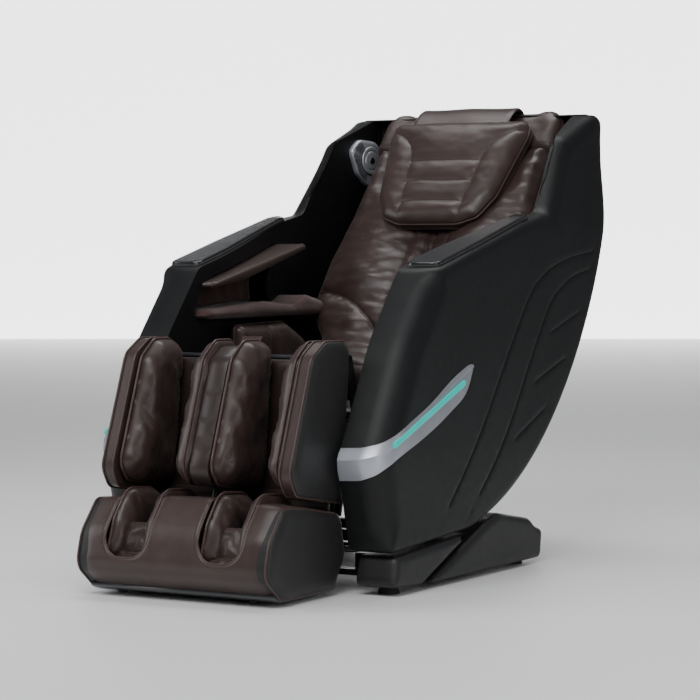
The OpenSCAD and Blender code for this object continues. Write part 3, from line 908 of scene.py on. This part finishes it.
def make_back_shell(m):
    half_width = 341
    top_edge = rounded([[728, 1153, 0], [771, 1158, 28], [767, 1092, 0]], 10)[1:-1]
    path = resample(np.vstack([[(730, 1153.5)], top_edge, REAR[REAR[:, 1] > 286]]), 9, False)
    z = path[:, 1]
    edge = np.array([0, 0.6, 2, 4, 7, 11])
    across = np.concatenate([edge, np.linspace(18, 664, 48), 2 * half_width - edge[::-1]])

    def lift(x, i):
        d = half_width - abs(x)
        out = np.full(len(path), -6 * (1 - np.sqrt(1 - (1 - min(d / 8, 1)) ** 2)))
        for seam_z in (980, 560):
            out -= 2.2 * dent(z - seam_z, 5)
        out -= 4 * smooth01((250 - abs(x)) / 14) * smooth01((z - 610) / 20) * smooth01((940 - z) / 20)
        louvres = smooth01((150 - abs(x)) / 8) * ((z > 640) & (z < 760))
        return out - 2.5 * louvres * (0.5 + 0.5 * np.sin(z / 20 * 2 * math.pi))

    shell = swept("back_cover", path, across - half_width, m["plastic"], 0.0035, lift)
    sharpen(shell, 40)
    place(shell, "shell", "back_shell", slot="black_textured")


# ---------------------------------------------------------------- upholstery
PAD_RINGS = (1.2, 3, 6, 11, 18)
SEAM_OFFSETS = (-6, -2.6, 0, 2.6, 6)


def seam_depth(p, lines, narrow, wide):
    """How far sewn lines pull the cover in: a thin groove in a soft valley."""
    depth = np.zeros(len(p))
    for line in lines:
        near = distance(p, line)
        depth += narrow * dent(near, 3.2) + wide * dent(near, 16)
    return depth


def leather_pad(name, plane, outline, heights, reach, mat, step, lines=(), wrinkles=None, seam=2.6,
                shape=None):
    """A padded solid: heights are its back, edges and middle; sewn lines pull it in."""
    low, edge_h, high = heights

    def top(p, d):
        h = edge_h + (high - edge_h) * soft_rise(d, reach)
        if shape is not None:
            h = h + shape(p) * smooth01(d / (reach * 0.6))
        h = h - seam_depth(p, lines, seam, seam * 1.1)
        if wrinkles is not None:
            h = h + wrinkles(p, d) * smooth01(d / 18)
        return h

    def bottom(p, d):
        return low + 3 * (1 - np.clip(d / 6, 0, 1))

    return solid(name, plane, outline, top, bottom, step, mat, PAD_RINGS, lines, SEAM_OFFSETS)


def folds(*shape):
    """Wrinkles for a pad: scale, amount, seed and stretch, as rumple takes them."""
    return lambda p, d: rumple(p, *shape)


def surface_line(obj, plane, line, lift):
    """A plane line laid on a piece's front face, in metres."""
    return dropped(obj, plane.at(np.asarray(line, float), 300), -plane.h / np.linalg.norm(plane.h), lift)


def seam_set(obj, plane, lines, m, name, double=True, pipe=None):
    """Stitch rows along lines on a piece; double puts one on each side."""
    made = []
    for k, line in enumerate(lines):
        line = smooth_line(line, 7) if len(line) > 2 else resample(line, 7, False)
        n = -normals(line)
        for o in ((-4.2, 4.2) if double else (3.6,)):
            at = surface_line(obj, plane, line + n * o, 0.0002)
            made.append(stitches(f"{name}_{k}_{o}", at, m["thread"], plane.h))
        if pipe:
            at = surface_line(obj, plane, line, pipe * 0.2)
            made.append(tube(f"{name}_pipe_{k}", at, pipe, m["piping"]))
    return made


def inset_ring(outline, by):
    return resample(shifted(resample(outline, 6), by), 6)


def piping(name, plane, outline, h, radius, mat, inset=0.0):
    return tube(name, plane.at(inset_ring(outline, inset), h), radius, mat, closed=True)


def make_pillow(m):
    outline = rounded([[-88, 492, 26], [-141, 514, 30], [-176, 584, 60], [-208, 790, 60], [-203, 840, 26],
                       [203, 840, 26], [208, 790, 60], [176, 584, 60], [141, 514, 30], [88, 492, 26]], 8)
    left = [(-204, 802), (-160, 782), (-120, 745), (-106, 700), (-101, 640), (-92, 560), (-88, 494)]
    right = flipped(left)
    across = [[(-x, s), (x, s)] for x, s in ((103, 690), (98, 622), (91, 554))]
    lines = [smooth_line(left, 7), smooth_line(right, 7)] + [resample(a, 7, False) for a in across]

    def shape(p):
        return 5 * np.cos(p[:, 0] / 210 * math.pi / 2) + 4 * smooth01((p[:, 1] - 560) / 200)

    body = leather_pad("pillow", BACK, outline, (66, 88, 112), 46, m["leather"], 8, lines,
                       folds(70, 2.4, 3.0, (0.7, 1.6)), 2.2, shape)
    puff(body, 0.004, near_seams(body, on_back, outline, lines, 3.0))
    extra = seam_set(body, BACK, [left, right], m, "pillow_seam", double=False)
    extra += seam_set(body, BACK, across, m, "pillow_row")
    extra.append(piping("pillow_piping", BACK, outline, 87, 0.0028, m["piping"], 0.5))
    extra.append(piping("pillow_piping_rear", BACK, outline, 68, 0.0022, m["piping"], 1.0))
    pillow = join("headrest_cushion", [body] + extra)
    place(pillow, "pillow", "headrest_pillow", slot="leather_brown", fill_level=0.75)


def make_strap(m):
    """The flap that carries the pillow over the top edge; (s, height) pairs run from pillow to shell."""
    flap = [(822, 104), (846, 101), (874, 93), (896, 78), (906, 60), (905, 42), (896, 32)]
    flap = smooth_line(flap, 5, False, 3)
    yz = BACK_ORIGIN + flap[:, :1] * BACK_DIR + flap[:, 1:] * BACK_FRONT
    across = np.concatenate([[-142, -141, -138], np.linspace(-130, 130, 27), [138, 141, 142]])
    strap = swept("pillow_strap", yz, across, m["leather"], 0.006,
                  lambda x, i: 1.2 * np.sin(x / 31.0 + i * 0.1) - 2.5 * (abs(x) > 140))
    sharpen(strap, 60)
    above = np.array([0, *BACK_FRONT]) * 0.0006 + np.array([0, -0.0004, 0.0012])
    rows = []
    for x in (-132, 132):
        pts = np.column_stack([np.full(len(yz), x), yz]) * MM + above
        rows.append(stitches(f"strap_row_{x}", pts, m["thread"], (0, -0.5, 0.86)))
    strap = join("pillow_strap", [strap] + rows)
    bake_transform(strap)


def make_backrest(m):
    half = [[212, 36, 22], [222, 150, 40], [284, 236, 60], [286, 400, 80], [268, 560, 80], [258, 790, 24]]
    outline = symmetric(half, 6)
    channel = [(-30, 786), (-34, 640), (-52, 500), (-46, 400), (-48, 330), (-66, 283)]
    strip = [(-9, 786), (-9, 300)]
    lumbar = [(-284, 296), (-250, 291), (-210, 280), (-153, 249), (-112, 216), (-76, 184), (-53, 147),
              (-44, 90), (-42, 44)]
    channels, strips, lumbars = ([line, flipped(line)] for line in (channel, strip, lumbar))
    lines = [smooth_line(line, 8) for line in channels + lumbars]
    lines += [resample(line, 8, False) for line in strips]

    def shape(p):
        x, s = np.abs(p[:, 0]), p[:, 1]
        bolster = 22 * dent(x - 150, 66) * smooth01((s - 220) / 120) * smooth01((660 - s) / 140)
        lower = 16 * dent(x - 130, 70) * smooth01((290 - s) / 90)
        valley = -10 * dent(x, 44) * smooth01((s - 240) / 120)
        wings = 14 * smooth01((x - 190) / 60) * smooth01((s - 520) / 140)
        return bolster + lower + valley + wings

    def wrinkles(p, d):
        x, s = np.abs(p[:, 0]), p[:, 1]
        line = np.sin((s + 0.55 * x + rumple(p, 90, 40, 8.0)) / 17.0)
        local = dent(s - 330, 90) + 0.7 * dent(s - 500, 70)
        return rumple(p, 62, 4.6, 1.7, (0.75, 2.1)) + 1.7 * line * local * smooth01((x - 40) / 60)

    body = leather_pad("back_pad", BACK, outline, (26, 34, 58), 46, m["leather"], 9, lines, wrinkles, 3.4,
                       shape)
    puff(body, 0.005, near_seams(body, on_back, outline, lines, 4.0))
    extra = seam_set(body, BACK, channels, m, "back_seam", False, 0.0022)
    extra += seam_set(body, BACK, lumbars, m, "lumbar_seam", False, 0.0018)
    extra += seam_set(body, BACK, strips, m, "strip_seam", False)
    extra.append(piping("back_piping", BACK, outline, 35, 0.0026, m["piping"], 0.5))
    place(join("back_cushion_cover", [body] + extra), "shell", "back_cushion", "shoulder_airbag_left",
          "shoulder_airbag_right", slot="leather_brown", fill_level=0.6)


def make_cowl(m):
    """The padded cowl over the top of the backrest, lower in the middle where the pillow turns over it."""
    outline = symmetric([[272, 772, 16], [268, 880, 36], [238, 915, 26], [205, 915, 12], [190, 908, 12]])
    body = leather_pad("cowl", BACK, outline, (29, 38, 58), 30, m["leather"], 10, [], folds(60, 2.4, 6.0),
                       shape=lambda p: 6 * smooth01((np.abs(p[:, 0]) - 190) / 70))
    edge = piping("cowl_piping", BACK, outline, 38, 0.0026, m["piping"], 0.6)
    place(join("top_cowl_cover", [body, edge]), "shell", "top_cowl", slot="leather_brown", fill_level=0.7)


def make_seat(m):
    outline = rounded([[-221, -334, 26], [-221, 206, 20], [221, 206, 20], [221, -334, 26]], 8)
    seam = [(-217, -240), (-120, -262), (0, -268), (120, -262), (217, -240)]
    panel = [(-150, 160), (-158, 0), (-150, -140), (-120, -256)]
    panels = [panel, flipped(panel)]
    lines = [smooth_line(line, 8) for line in [seam] + panels]

    def top(p, d):
        z = np.interp(p[:, 1], [-334, -300, -240, 172, 206], [520, 530, 522, 466, 463])
        z = z - 38 * (1 - soft_rise(d, 42)) - seam_depth(p, lines, 2.6, 3)
        return z + rumple(p, 66, 3.4, 2.0) * smooth01(d / 30)

    def bottom(p, d):
        return np.interp(p[:, 1], [-334, 164, 180], [442, 380, 424]) + 4 * (1 - np.clip(d / 8, 0, 1))

    body = solid("seat", PLAN, outline, top, bottom, 9, m["leather"], PAD_RINGS + (28,), lines,
                 SEAM_OFFSETS, wall=5)
    puff(body, 0.004, near_seams(body, lambda v: v[:, :2], outline, lines, 4.0))
    extra = seam_set(body, PLAN, [seam], m, "seat_seam")
    extra += seam_set(body, PLAN, panels, m, "seat_panel", False)
    ring = inset_ring(outline, -0.6)
    z = np.interp(ring[:, 1], [-334, 170], [480, 420])
    extra.append(tube("seat_piping", PLAN.at(ring, z), 0.0026, m["piping"], closed=True))
    cushion = join("seat_cushion_cover", [body] + extra)
    place(cushion, "shell", "seat_cushion", slot="leather_brown", fill_level=0.6)


def make_arm_pads(m):
    hip = rounded([[250, 454, 20], [-78, 487, 16], [-82, 604, 16], [150, 610, 24], [250, 560, 30]])
    upper = rounded([[-197, 700, 5], [-192, 713, 5], [250, 811, 8], [262, 797, 8], [110, 758, 60],
                     [-40, 720, 60]], 6)
    lower = rounded([[340, 624, 10], [-214, 624, 12], [-218, 644, 14], [-100, 652, 40], [60, 662, 60],
                     [190, 652, 40], [262, 676, 26], [346, 660, 14]], 6)
    curtain = rounded([[-190, 648, 8], [-170, 700, 8], [180, 780, 8], [160, 700, 20], [170, 660, 8]], 5)
    pads = []

    def add(name, outline, pad, bead, node, slot, level):
        edge = piping(name + "_piping", INWARD, outline, *bead)
        pads.append((join(name, [pad, edge]), node, slot, level))

    pad = leather_pad("hip", INWARD, hip, (-276, -262, -234), 40, m["leather"], 10,
                      [resample([(62, 608), (58, 474)], 7, False)], folds(50, 3.4, 5.0), 3.0)
    puff(pad, 0.004)
    add("hip_pad_right", hip, pad, (-262, 0.0024, m["piping"], 0.5), "hip_airbag", "leather_brown", 0.6)
    pad = leather_pad("upper", INWARD, upper, (-379, -256, -246), 9, m["leather"], 8, [], folds(50, 1.2, 9.0))
    add("arm_pad_top_right", upper, pad, (-257, 0.0022, m["piping"], 0.4), "arm_pad_upper", "leather_brown",
        0.5)
    pad = leather_pad("lower", INWARD, lower, (-379, -262, -246), 14, m["mesh"], 7, [], folds(60, 2.5, 11.0))
    add("arm_pad_low_right", lower, pad, (-262, 0.0022, m["mesh"], 0.5), "arm_pad_lower", "mesh_fabric", 0.5)
    wall = leather_pad("curtain", INWARD, curtain, (-378, -372, -366), 8, m["mesh"], 10, [],
                       folds(40, 2.5, 15.0))
    pads.append((wall, None, "mesh_fabric", 0.3))
    for piece, node, slot, level in pads:
        place_pair(piece, "shell", node, slot, level)


def make_speakers(m):
    turn = math.radians(12)
    plane = Plane((303, 678, 1038), (-math.sin(turn), math.cos(turn), 0), (0, 0, 1),
                  (-math.cos(turn), -math.sin(turn), 0))
    centre, cone_r, groove_r = np.array([6.0, 4.0]), 40, 27
    outline = rounded([[-76, 30, 24], [-38, 62, 34], [44, 56, 36], [54, 0, 46], [14, -80, 24],
                       [-48, -32, 44]])

    def cone(p, d):
        return crown(3, 4, 11)(p, d) - 2.5 * dent(np.linalg.norm(p - centre, axis=1) - groove_r, 1.8)

    bezel = solid("bezel", plane, outline, crown(7, 9, 2), flat(-22), 5, m["silver"], (0.8, 2, 4, 7, 10))
    disc = solid("disc", plane, circle(centre, cone_r, 48), cone, flat(2), 3, m["silver"],
                 (0.6, 1.6, 3, 5, 9, 11.4, 13, 14.6, 17))
    knob = solid("knob", plane, circle(centre, 10, 32), crown(2.4, 3, 13.4), flat(9), 2.4, m["gloss"],
                 (0.6, 1.6))
    rim = tube("rim", plane.at(circle(centre, cone_r + 0.6, 48), 10.5), 0.0013, m["gloss"], True)
    ribs = []
    sweep = np.linspace(math.radians(128), math.radians(250), 34)
    for k in range(10):
        arc = centre + (45 + k * 3.2) * np.stack([np.cos(sweep), np.sin(sweep)], 1)
        arc = arc[inside(arc, shifted(resample(outline, 3), 4))]
        if len(arc) > 4:
            ribs.append(tube(f"rib_{k}", plane.at(arc, 9.0), 0.0008, m["gloss"]))
    right = join("speaker_trim_right", [bezel, disc, knob, rim] + ribs)
    sharpen(right, 45)
    place_pair(right, "shell", "speaker", "silver_paint")


# ---------------------------------------------------------------- leg rest
def profile_path(outline, start, end, step=6):
    """The part of a closed outline from the point nearest start to the one nearest end, in its own order."""
    p = resample(outline, step)
    a = int(np.argmin(((p - start) ** 2).sum(1)))
    b = int(np.argmin(((p - end) ** 2).sum(1)))
    return p[a:b + 1] if b > a else np.vstack([p[a:], p[:b + 1]])


WELL_FACES = ((-1, INWARD), (1, SIDE))


def bag(name, base, side, m, outline, bulge=44, seed=1.0):
    """An airbag cushion standing on a wall at x = base and swelling towards side (+1 or -1)."""
    plane = SIDE if side > 0 else INWARD
    start = base * side

    def wrinkles(p, d):
        small = 3.0 * dent(d - 24, 12) * rumple(p, 15, 1.0, seed + 3, (1.2, 1.2))
        return rumple(p, 46, 6.5, seed, (1.5, 0.7)) + small

    body = leather_pad(name, plane, outline, (start + 0.5, start + 11, start + bulge), 58, m["leather"], 9, [],
                       wrinkles)
    puff(body, 0.005)
    pipe = piping(name + "_pipe", plane, outline, start + 10, 0.0032, m["piping"])
    return join(name, [body, pipe])


def make_calf_strip(m):
    """The padded strip over the divider between the legs, with two rows of stitches on each side."""
    front = smooth_line(profile_path(CALF, (-420, 576), (-500, 219)), 7)
    wide = np.interp(np.linspace(0, 1, len(front)), [0, 0.35, 1], [28, 34, 38])
    n, k, verts = forward_normals(front), 15, []
    for q, out, half in zip(front, n, wide):
        for a in np.arange(k) * math.pi / (k - 1):
            c, up = math.cos(a), abs(math.sin(a))
            verts.append((half * np.sign(c) * abs(c) ** 0.35, *(q + out * (-16 + 20 * up ** 0.55))))
    faces = grid_faces(len(front), k)
    for i in range(len(front) - 1):
        faces.append((i * k + k - 1, i * k, (i + 1) * k, (i + 1) * k + k - 1))
    faces += [tuple(range(k)), tuple((len(front) - 1) * k + j for j in range(k))]
    band = new_object("calf_centre", np.array(verts) * MM, faces, m["leather_fine"])
    sharpen(band, 60)
    rows = []
    for side in (-1, 1):
        for off in (6.0, 9.5):
            pts = np.column_stack([side * (wide - off), front + n * 3.2]) * MM
            rows.append(stitches(f"calf_row_{side}_{off}", pts[4:-4], m["thread"], (0, -0.95, 0.3)))
    return [band] + rows


def make_calf_walls(m):
    """The outer walls of the calf wells, piped and stitched along their front edges."""
    made = []
    wall_line = shifted(resample(CALF, 7), 1.5)
    path = smooth_line(profile_path(CALF, (-440, 586), (-470, 214)), 6)
    edge = path - forward_normals(path) * 0.9
    ring = inset_ring(CALF, 0.6)
    for side, plane in WELL_FACES:
        made.append(solid("wall", plane, wall_line, crown(2.5, 6, 253),
                          lambda p, d: 228 - crown(4, 7)(p, d), 14, m["leather_fine"],
                          (0.8, 2.2, 4.5, 8), wall=6))
        for x in (231, 236.5, 242):
            pts = np.column_stack([np.full(len(path), side * x), edge]) * MM
            made.append(stitches(f"wall_row_{side}_{x}", pts, m["thread"], (0, -0.95, 0.3)))
        made.append(tube(f"wall_pipe_{side}", plane.at(ring, 254.5), 0.0026, m["piping"], True))
        made.append(tube(f"wall_pipe_in_{side}", plane.at(ring, 226), 0.0024, m["piping"], True))
    return made


def make_calf_core(m):
    # the divider and the rear pan use the leather darkened as painted shade, for the shade deep in the calf
    # wells
    divider = solid("divider", SIDE, shifted(resample(CALF, 8), 16), crown(3, 4, 23), sunk(3, 4, 23), 16,
                    m["painted_shade"], (1, 4))
    outline = rounded([[-222, -10, 8], [-222, 322, 8], [222, 322, 8], [222, -10, 8]], 4)
    lean = math.radians(5.5)
    up, out = (0, math.sin(lean), math.cos(lean)), (0, -math.cos(lean), math.sin(lean))
    plane = Plane((0, -452, 218), (1, 0, 0), up, out)
    seams = [resample([(x, 0), (x, 316)], 9, False) for x in (-125, 125)]
    rear = leather_pad("pan", plane, outline, (-14, 0, 12), 30, m["painted_shade"], 12, seams, folds(50, 3.0, 7.0),
                       3.0)
    core = join("calf_core", make_calf_strip(m) + [divider, rear] + make_calf_walls(m))
    place(core, "legrest", "calf_shell", slot="leather_brown", fill_level=0.35)


def make_painted_shadow_sheet(m):
    """A dark sheet of painted shadow that hangs in the gap between the leg rest and the foot section, in three
    shallow folds.
    """
    drop = [(-470, 238), (-473, 226), (-470, 214), (-475, 203), (-472, 192), (-478, 180)]
    shadow_sheet = swept("calf_painted_shadow", smooth_line(drop, 3), np.linspace(-246, 246, 42), m["painted_shade"], 0.0022)
    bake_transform(shadow_sheet)


def side_cover(x, height, reach, seed, amount):
    """The outer face of a leather side cover: rounded at its edge and slightly uneven."""
    return lambda p, d: x + height * soft_rise(d, reach) + rumple(p, 120, amount, seed)


def make_calf(m):
    make_calf_core(m)
    make_painted_shadow_sheet(m)
    side = solid("calf_cover_right", SIDE, shifted(resample(CALF, 7), 2.2),
                 side_cover(256.5, 8.5, 30, 2.0, 1.4), flat(254), 11, m["side_skin"],
                 (0.8, 2.5, 6, 11, 18, 26))
    place_pair(side, "legrest", "calf_side", "black_textured")
    for name, base, direction, seed in (("inner", 29, 1, 2.0), ("outer", 221, -1, 6.0)):
        right = bag(f"calf_bag_{name}_right", base, direction, m, BAG, 48, seed)
        place_pair(right, "legrest", f"calf_airbag_{name}", "leather_brown", 0.7)


# ---------------------------------------------------------------- foot section
def foot_outline(low, top):
    """The wrap rolled out flat: a full width panel with two round-bottomed openings for the feet."""
    half = [[255, top, 4], [190, top, 4], [186, low + 40, 30], [168, low, 44], [86, low, 44],
            [66, low + 40, 30], [56, top, 4]]
    return rounded([[-255, 0, 4], [255, 0, 4]] + half + [[-x, v, r] for x, v, r in half[::-1]], 7)


def make_foot_wrap(m):
    """The leather panel that wraps from under the toes up and over the front."""
    path = profile_path(FOOT, (-690, 14), (-452, 188), 4)
    if path[0][1] > path[-1][1]:
        path = path[::-1]
    run = np.concatenate([[0], np.cumsum(np.linalg.norm(np.diff(path, axis=0), axis=1))])
    crest = int(np.argmax(path[:, 1]))
    outline = foot_outline(float(np.interp(96, path[:crest, 1], run[:crest])), run[-1])
    out = normals(path)
    if out[0][1] > 0:
        out = -out

    def wrap(q, h):
        y, z, a, b = (np.interp(q[:, 1], run, line) for line in (*path.T, *out.T))
        rise = 12 * (1 - (q[:, 0] / 262) ** 2) * smooth01((z - 90) / 100)
        round_in = 10 * smooth01((np.abs(q[:, 0]) - 215) / 45) * smooth01((-640 - y) / 60)
        return np.column_stack([q[:, 0], y + a * h + round_in, z + b * h + rise]) * MM

    pts, tri, rim = fill(outline, 9, (1.0, 2.5, 5, 9))
    d = distance(pts, resample(outline, 8), True)
    top = wrap(pts, crown(5.5, 7, -5)(pts, d) + 0.6 * rumple(pts, 50, 1.6, 1.0))
    n = len(pts)
    faces = [tuple(f) for f in tri] + [tuple(f[::-1] + n) for f in tri]
    for a, b in zip(rim, rim[1:] + rim[:1]):
        faces.append((a, a + n, b + n, b))
    cover = new_object("foot_wrap", np.vstack([top, wrap(pts, -9.0)]), faces, m["leather_fine"])
    sharpen(cover, 55)
    made = [cover]
    for off in (7, 11):
        ring = resample(shifted(resample(outline, 5), off), 6)
        row = wrap(np.vstack([ring, ring[:1]]), 0.8)
        made.append(stitches(f"foot_row_{off}", row, m["thread"], (0, -0.8, 0.6)))
    made.append(tube("foot_pipe", wrap(resample(outline, 6), -3.4), 0.0026, m["piping"], True))
    return made


def make_foot_box(m):
    """What the wrap covers: sides, middle wall, floor and rear of the wells, and the tray with its studs."""
    # the middle wall between the foot wells uses the leather darkened as painted shade
    middle = solid("foot_middle", SIDE, shifted(resample(FOOT, 7), 9), crown(3, 4, 55), sunk(3, 4, 55), 14,
                   m["painted_shade"], (1, 4))
    body = [middle] + make_foot_wrap(m)
    floor_line = rounded([[-700, 24, 8], [-738, 74, 20], [-690, 84, 20], [-640, 64, 8], [-552, 64, 8],
                          [-500, 96, 20], [-436, 96, 20], [-440, 24, 8]], 5)
    rear_line = rounded([[-498, 60, 4], [-498, 178, 8], [-446, 176, 20], [-432, 90, 20], [-440, 40, 8]], 5)
    side_pipe = inset_ring(FOOT, 1.4)
    for side, plane in WELL_FACES:
        body.append(solid(f"foot_side_{side}", plane, shifted(resample(FOOT, 7), 2.0),
                          side_cover(252, 12, 26, 3.0, 1.2), flat(196), 11, m["side_skin"],
                          (0.8, 2.5, 6, 11, 17, 24)))
        body.append(tube(f"foot_side_pipe_{side}", plane.at(side_pipe, 252.5), 0.0026, m["piping"], True))
    # the well floors and rear walls use the leather darkened as painted shade, for the shade inside the wells
    for part, line in (("floor", floor_line), ("rear", rear_line)):
        for side, plane in WELL_FACES:
            body.append(solid(f"foot_{part}_{side}", plane, line, flat(198), flat(52), 16, m["painted_shade"]))
    tray = rounded([[-757, 30, 6], [-690, 9, 10], [-460, 9, 10], [-440, 24, 8], [-450, 30, 4]], 5)
    body.append(solid("foot_tray", SIDE, tray, crown(3, 5, 246), sunk(3, 5, 246), 12, m["tray"], (1, 3)))
    for x in (-180, 180):
        for y in (-690, -500):
            body.append(solid("stud", PLAN, circle((x, y), 12, 24), flat(14),
                              lambda p, d: 5 + 2 * (1 - np.clip(d / 3, 0, 1)), 4, m["rubber"], (1, 3)))
    place(join("foot_box", body), "footrest", "foot_shell", slot="leather_brown", fill_level=0.3)


def make_foot_pad(m, sign):
    """One well's airbags: a tall cushion on each of its walls, and a folded pad across its front."""
    dome = rounded([[-512, 70, 20], [-716, 62, 16], [-752, 104, 30], [-726, 178, 60], [-672, 246, 50],
                    [-570, 238, 50], [-506, 190, 30]])
    near = bag("pad_near", 64, 1, m, dome, 40, 12.0 + sign)
    far = bag("pad_far", 190, -1, m, dome, 40, 15.0 + sign)
    fold_line = rounded([[70, 0, 20], [66, 92, 40], [188, 92, 40], [184, 0, 20], [150, -22, 20],
                         [104, -22, 20]], 6)
    plane = Plane((0, -738, 92), (1, 0, 0), (0, 0.48, 0.877), (0, -0.877, 0.48))
    fold = leather_pad("fold", plane, fold_line, (-16, -6, 4), 16, m["leather"], 7,
                       [smooth_line([(72, 30), (127, 12), (182, 30)], 6)], folds(30, 5.0, 20.0 + sign), 4.0)
    seams = seam_set(fold, plane, [[(76, 28), (127, 11), (178, 28)]], m, "fold_seam")
    return [near, far, fold] + seams


def make_foot(m):
    make_foot_box(m)
    right = join("foot_pad_right_cover", make_foot_pad(m, 1))
    place(right, "footrest", "foot_pad_right", slot="leather_brown", fill_level=0.6)
    pad = join("foot_pad_left_cover", make_foot_pad(m, -1))
    left = mirrored(pad, "foot_pad_left_cushion")
    bpy.data.objects.remove(pad)
    place(left, "footrest", "foot_pad_left", slot="leather_brown", fill_level=0.6)


# ---------------------------------------------------------------- base covers
def make_base(m):
    def cover(name, line):
        piece = solid(name, SIDE, line, crown(16, 18, 383), lambda p, d: 300 - crown(5, 6)(p, d), 10,
                      m["plain"], (0.8, 2.5, 5, 9, 14), wall=4)
        sharpen(piece, 40)
        return piece

    toe = cover("base_toe_right", rounded([[30, 141, 6], [-296, 14, 8], [-444, 21, 16], [-423, 91, 12],
                                           [-70, 112, 4]], 6))
    place_pair(toe, "base", "base_skirt", "black_textured")
    hump = cover("base_foot_right", rounded([[-278, 11, 5], [40, 132, 14], [104, 147, 44], [276, 119, 32],
                                             [308, 97, 32], [350, 84, 14], [340, 12, 12]], 6))
    parts = [hump, mirrored(hump, "base_foot_left")]
    # the rear wall between the humps leaves an opening for the inlet and the switch
    bars = ((-303, -31, 34, 84), (31, 303, 34, 84), (-31.5, 31.5, 34, 40), (-31.5, 31.5, 76, 84))
    for x0, x1, z0, z1 in bars:
        wall = rounded([[x0, z0, 1], [x0, z1, 1], [x1, z1, 1], [x1, z0, 1]], 3)
        parts.append(solid("bridge", CROSS, wall, crown(0.8, 1.2, 340), flat(336.5), 12, m["plain"],
                           (0.5, 1.4)))
    deck = rounded([[304, 80, 1], [304, 85, 1.5], [340, 85, 1.5], [340, 80, 1]], 3)
    parts.append(solid("deck", SIDE, deck, flat(303), flat(-303), 12, m["plain"]))
    place(join("base_rear_cover", parts), "base", "rear_base_cover", slot="black_textured")


# ---------------------------------------------------------------- finishes of the CAD pieces that stay
def dress(m):
    looks = {
        ("coat", "steel_black"): ("base_frame", "control_box", "carriage_frame", "seat_frame", "back_frame",
                                  "robot_chassis"),
        ("rubber", "rubber_black"): ("floor_feet", "transport_wheel_left", "transport_wheel_right",
                                     "kneading_arm_left", "kneading_arm_right", "foot_rollers"),
        ("plain", "black_plastic"): ("power_inlet", "air_pump", "recline_actuator", "legrest_motor"),
        ("gloss", "black_plastic"): ("power_switch",),
        ("steel", "steel_bright"): ("front_roller_set", "rear_roller_set", "recline_rod"),
        ("dark_steel", "steel_bright"): ("legrest_shaft", "foot_guide_rods"),
    }
    for (finish, slot), nodes in looks.items():
        for obj in (frame["nodes"][node] for node in nodes):
            for s in obj.material_slots:
                s.material = m[finish]
            if not obj.material_slots:
                obj.data.materials.append(m[finish])


def main():
    make_camera()
    make_studio()
    m = make_materials()
    make_side(m)
    make_arm_trim(m)
    make_silver(m)
    make_back_shell(m)
    make_pillow(m)
    make_strap(m)
    make_backrest(m)
    make_cowl(m)
    make_seat(m)
    make_arm_pads(m)
    make_speakers(m)
    make_calf(m)
    make_foot(m)
    make_base(m)
    dress(m)


main()
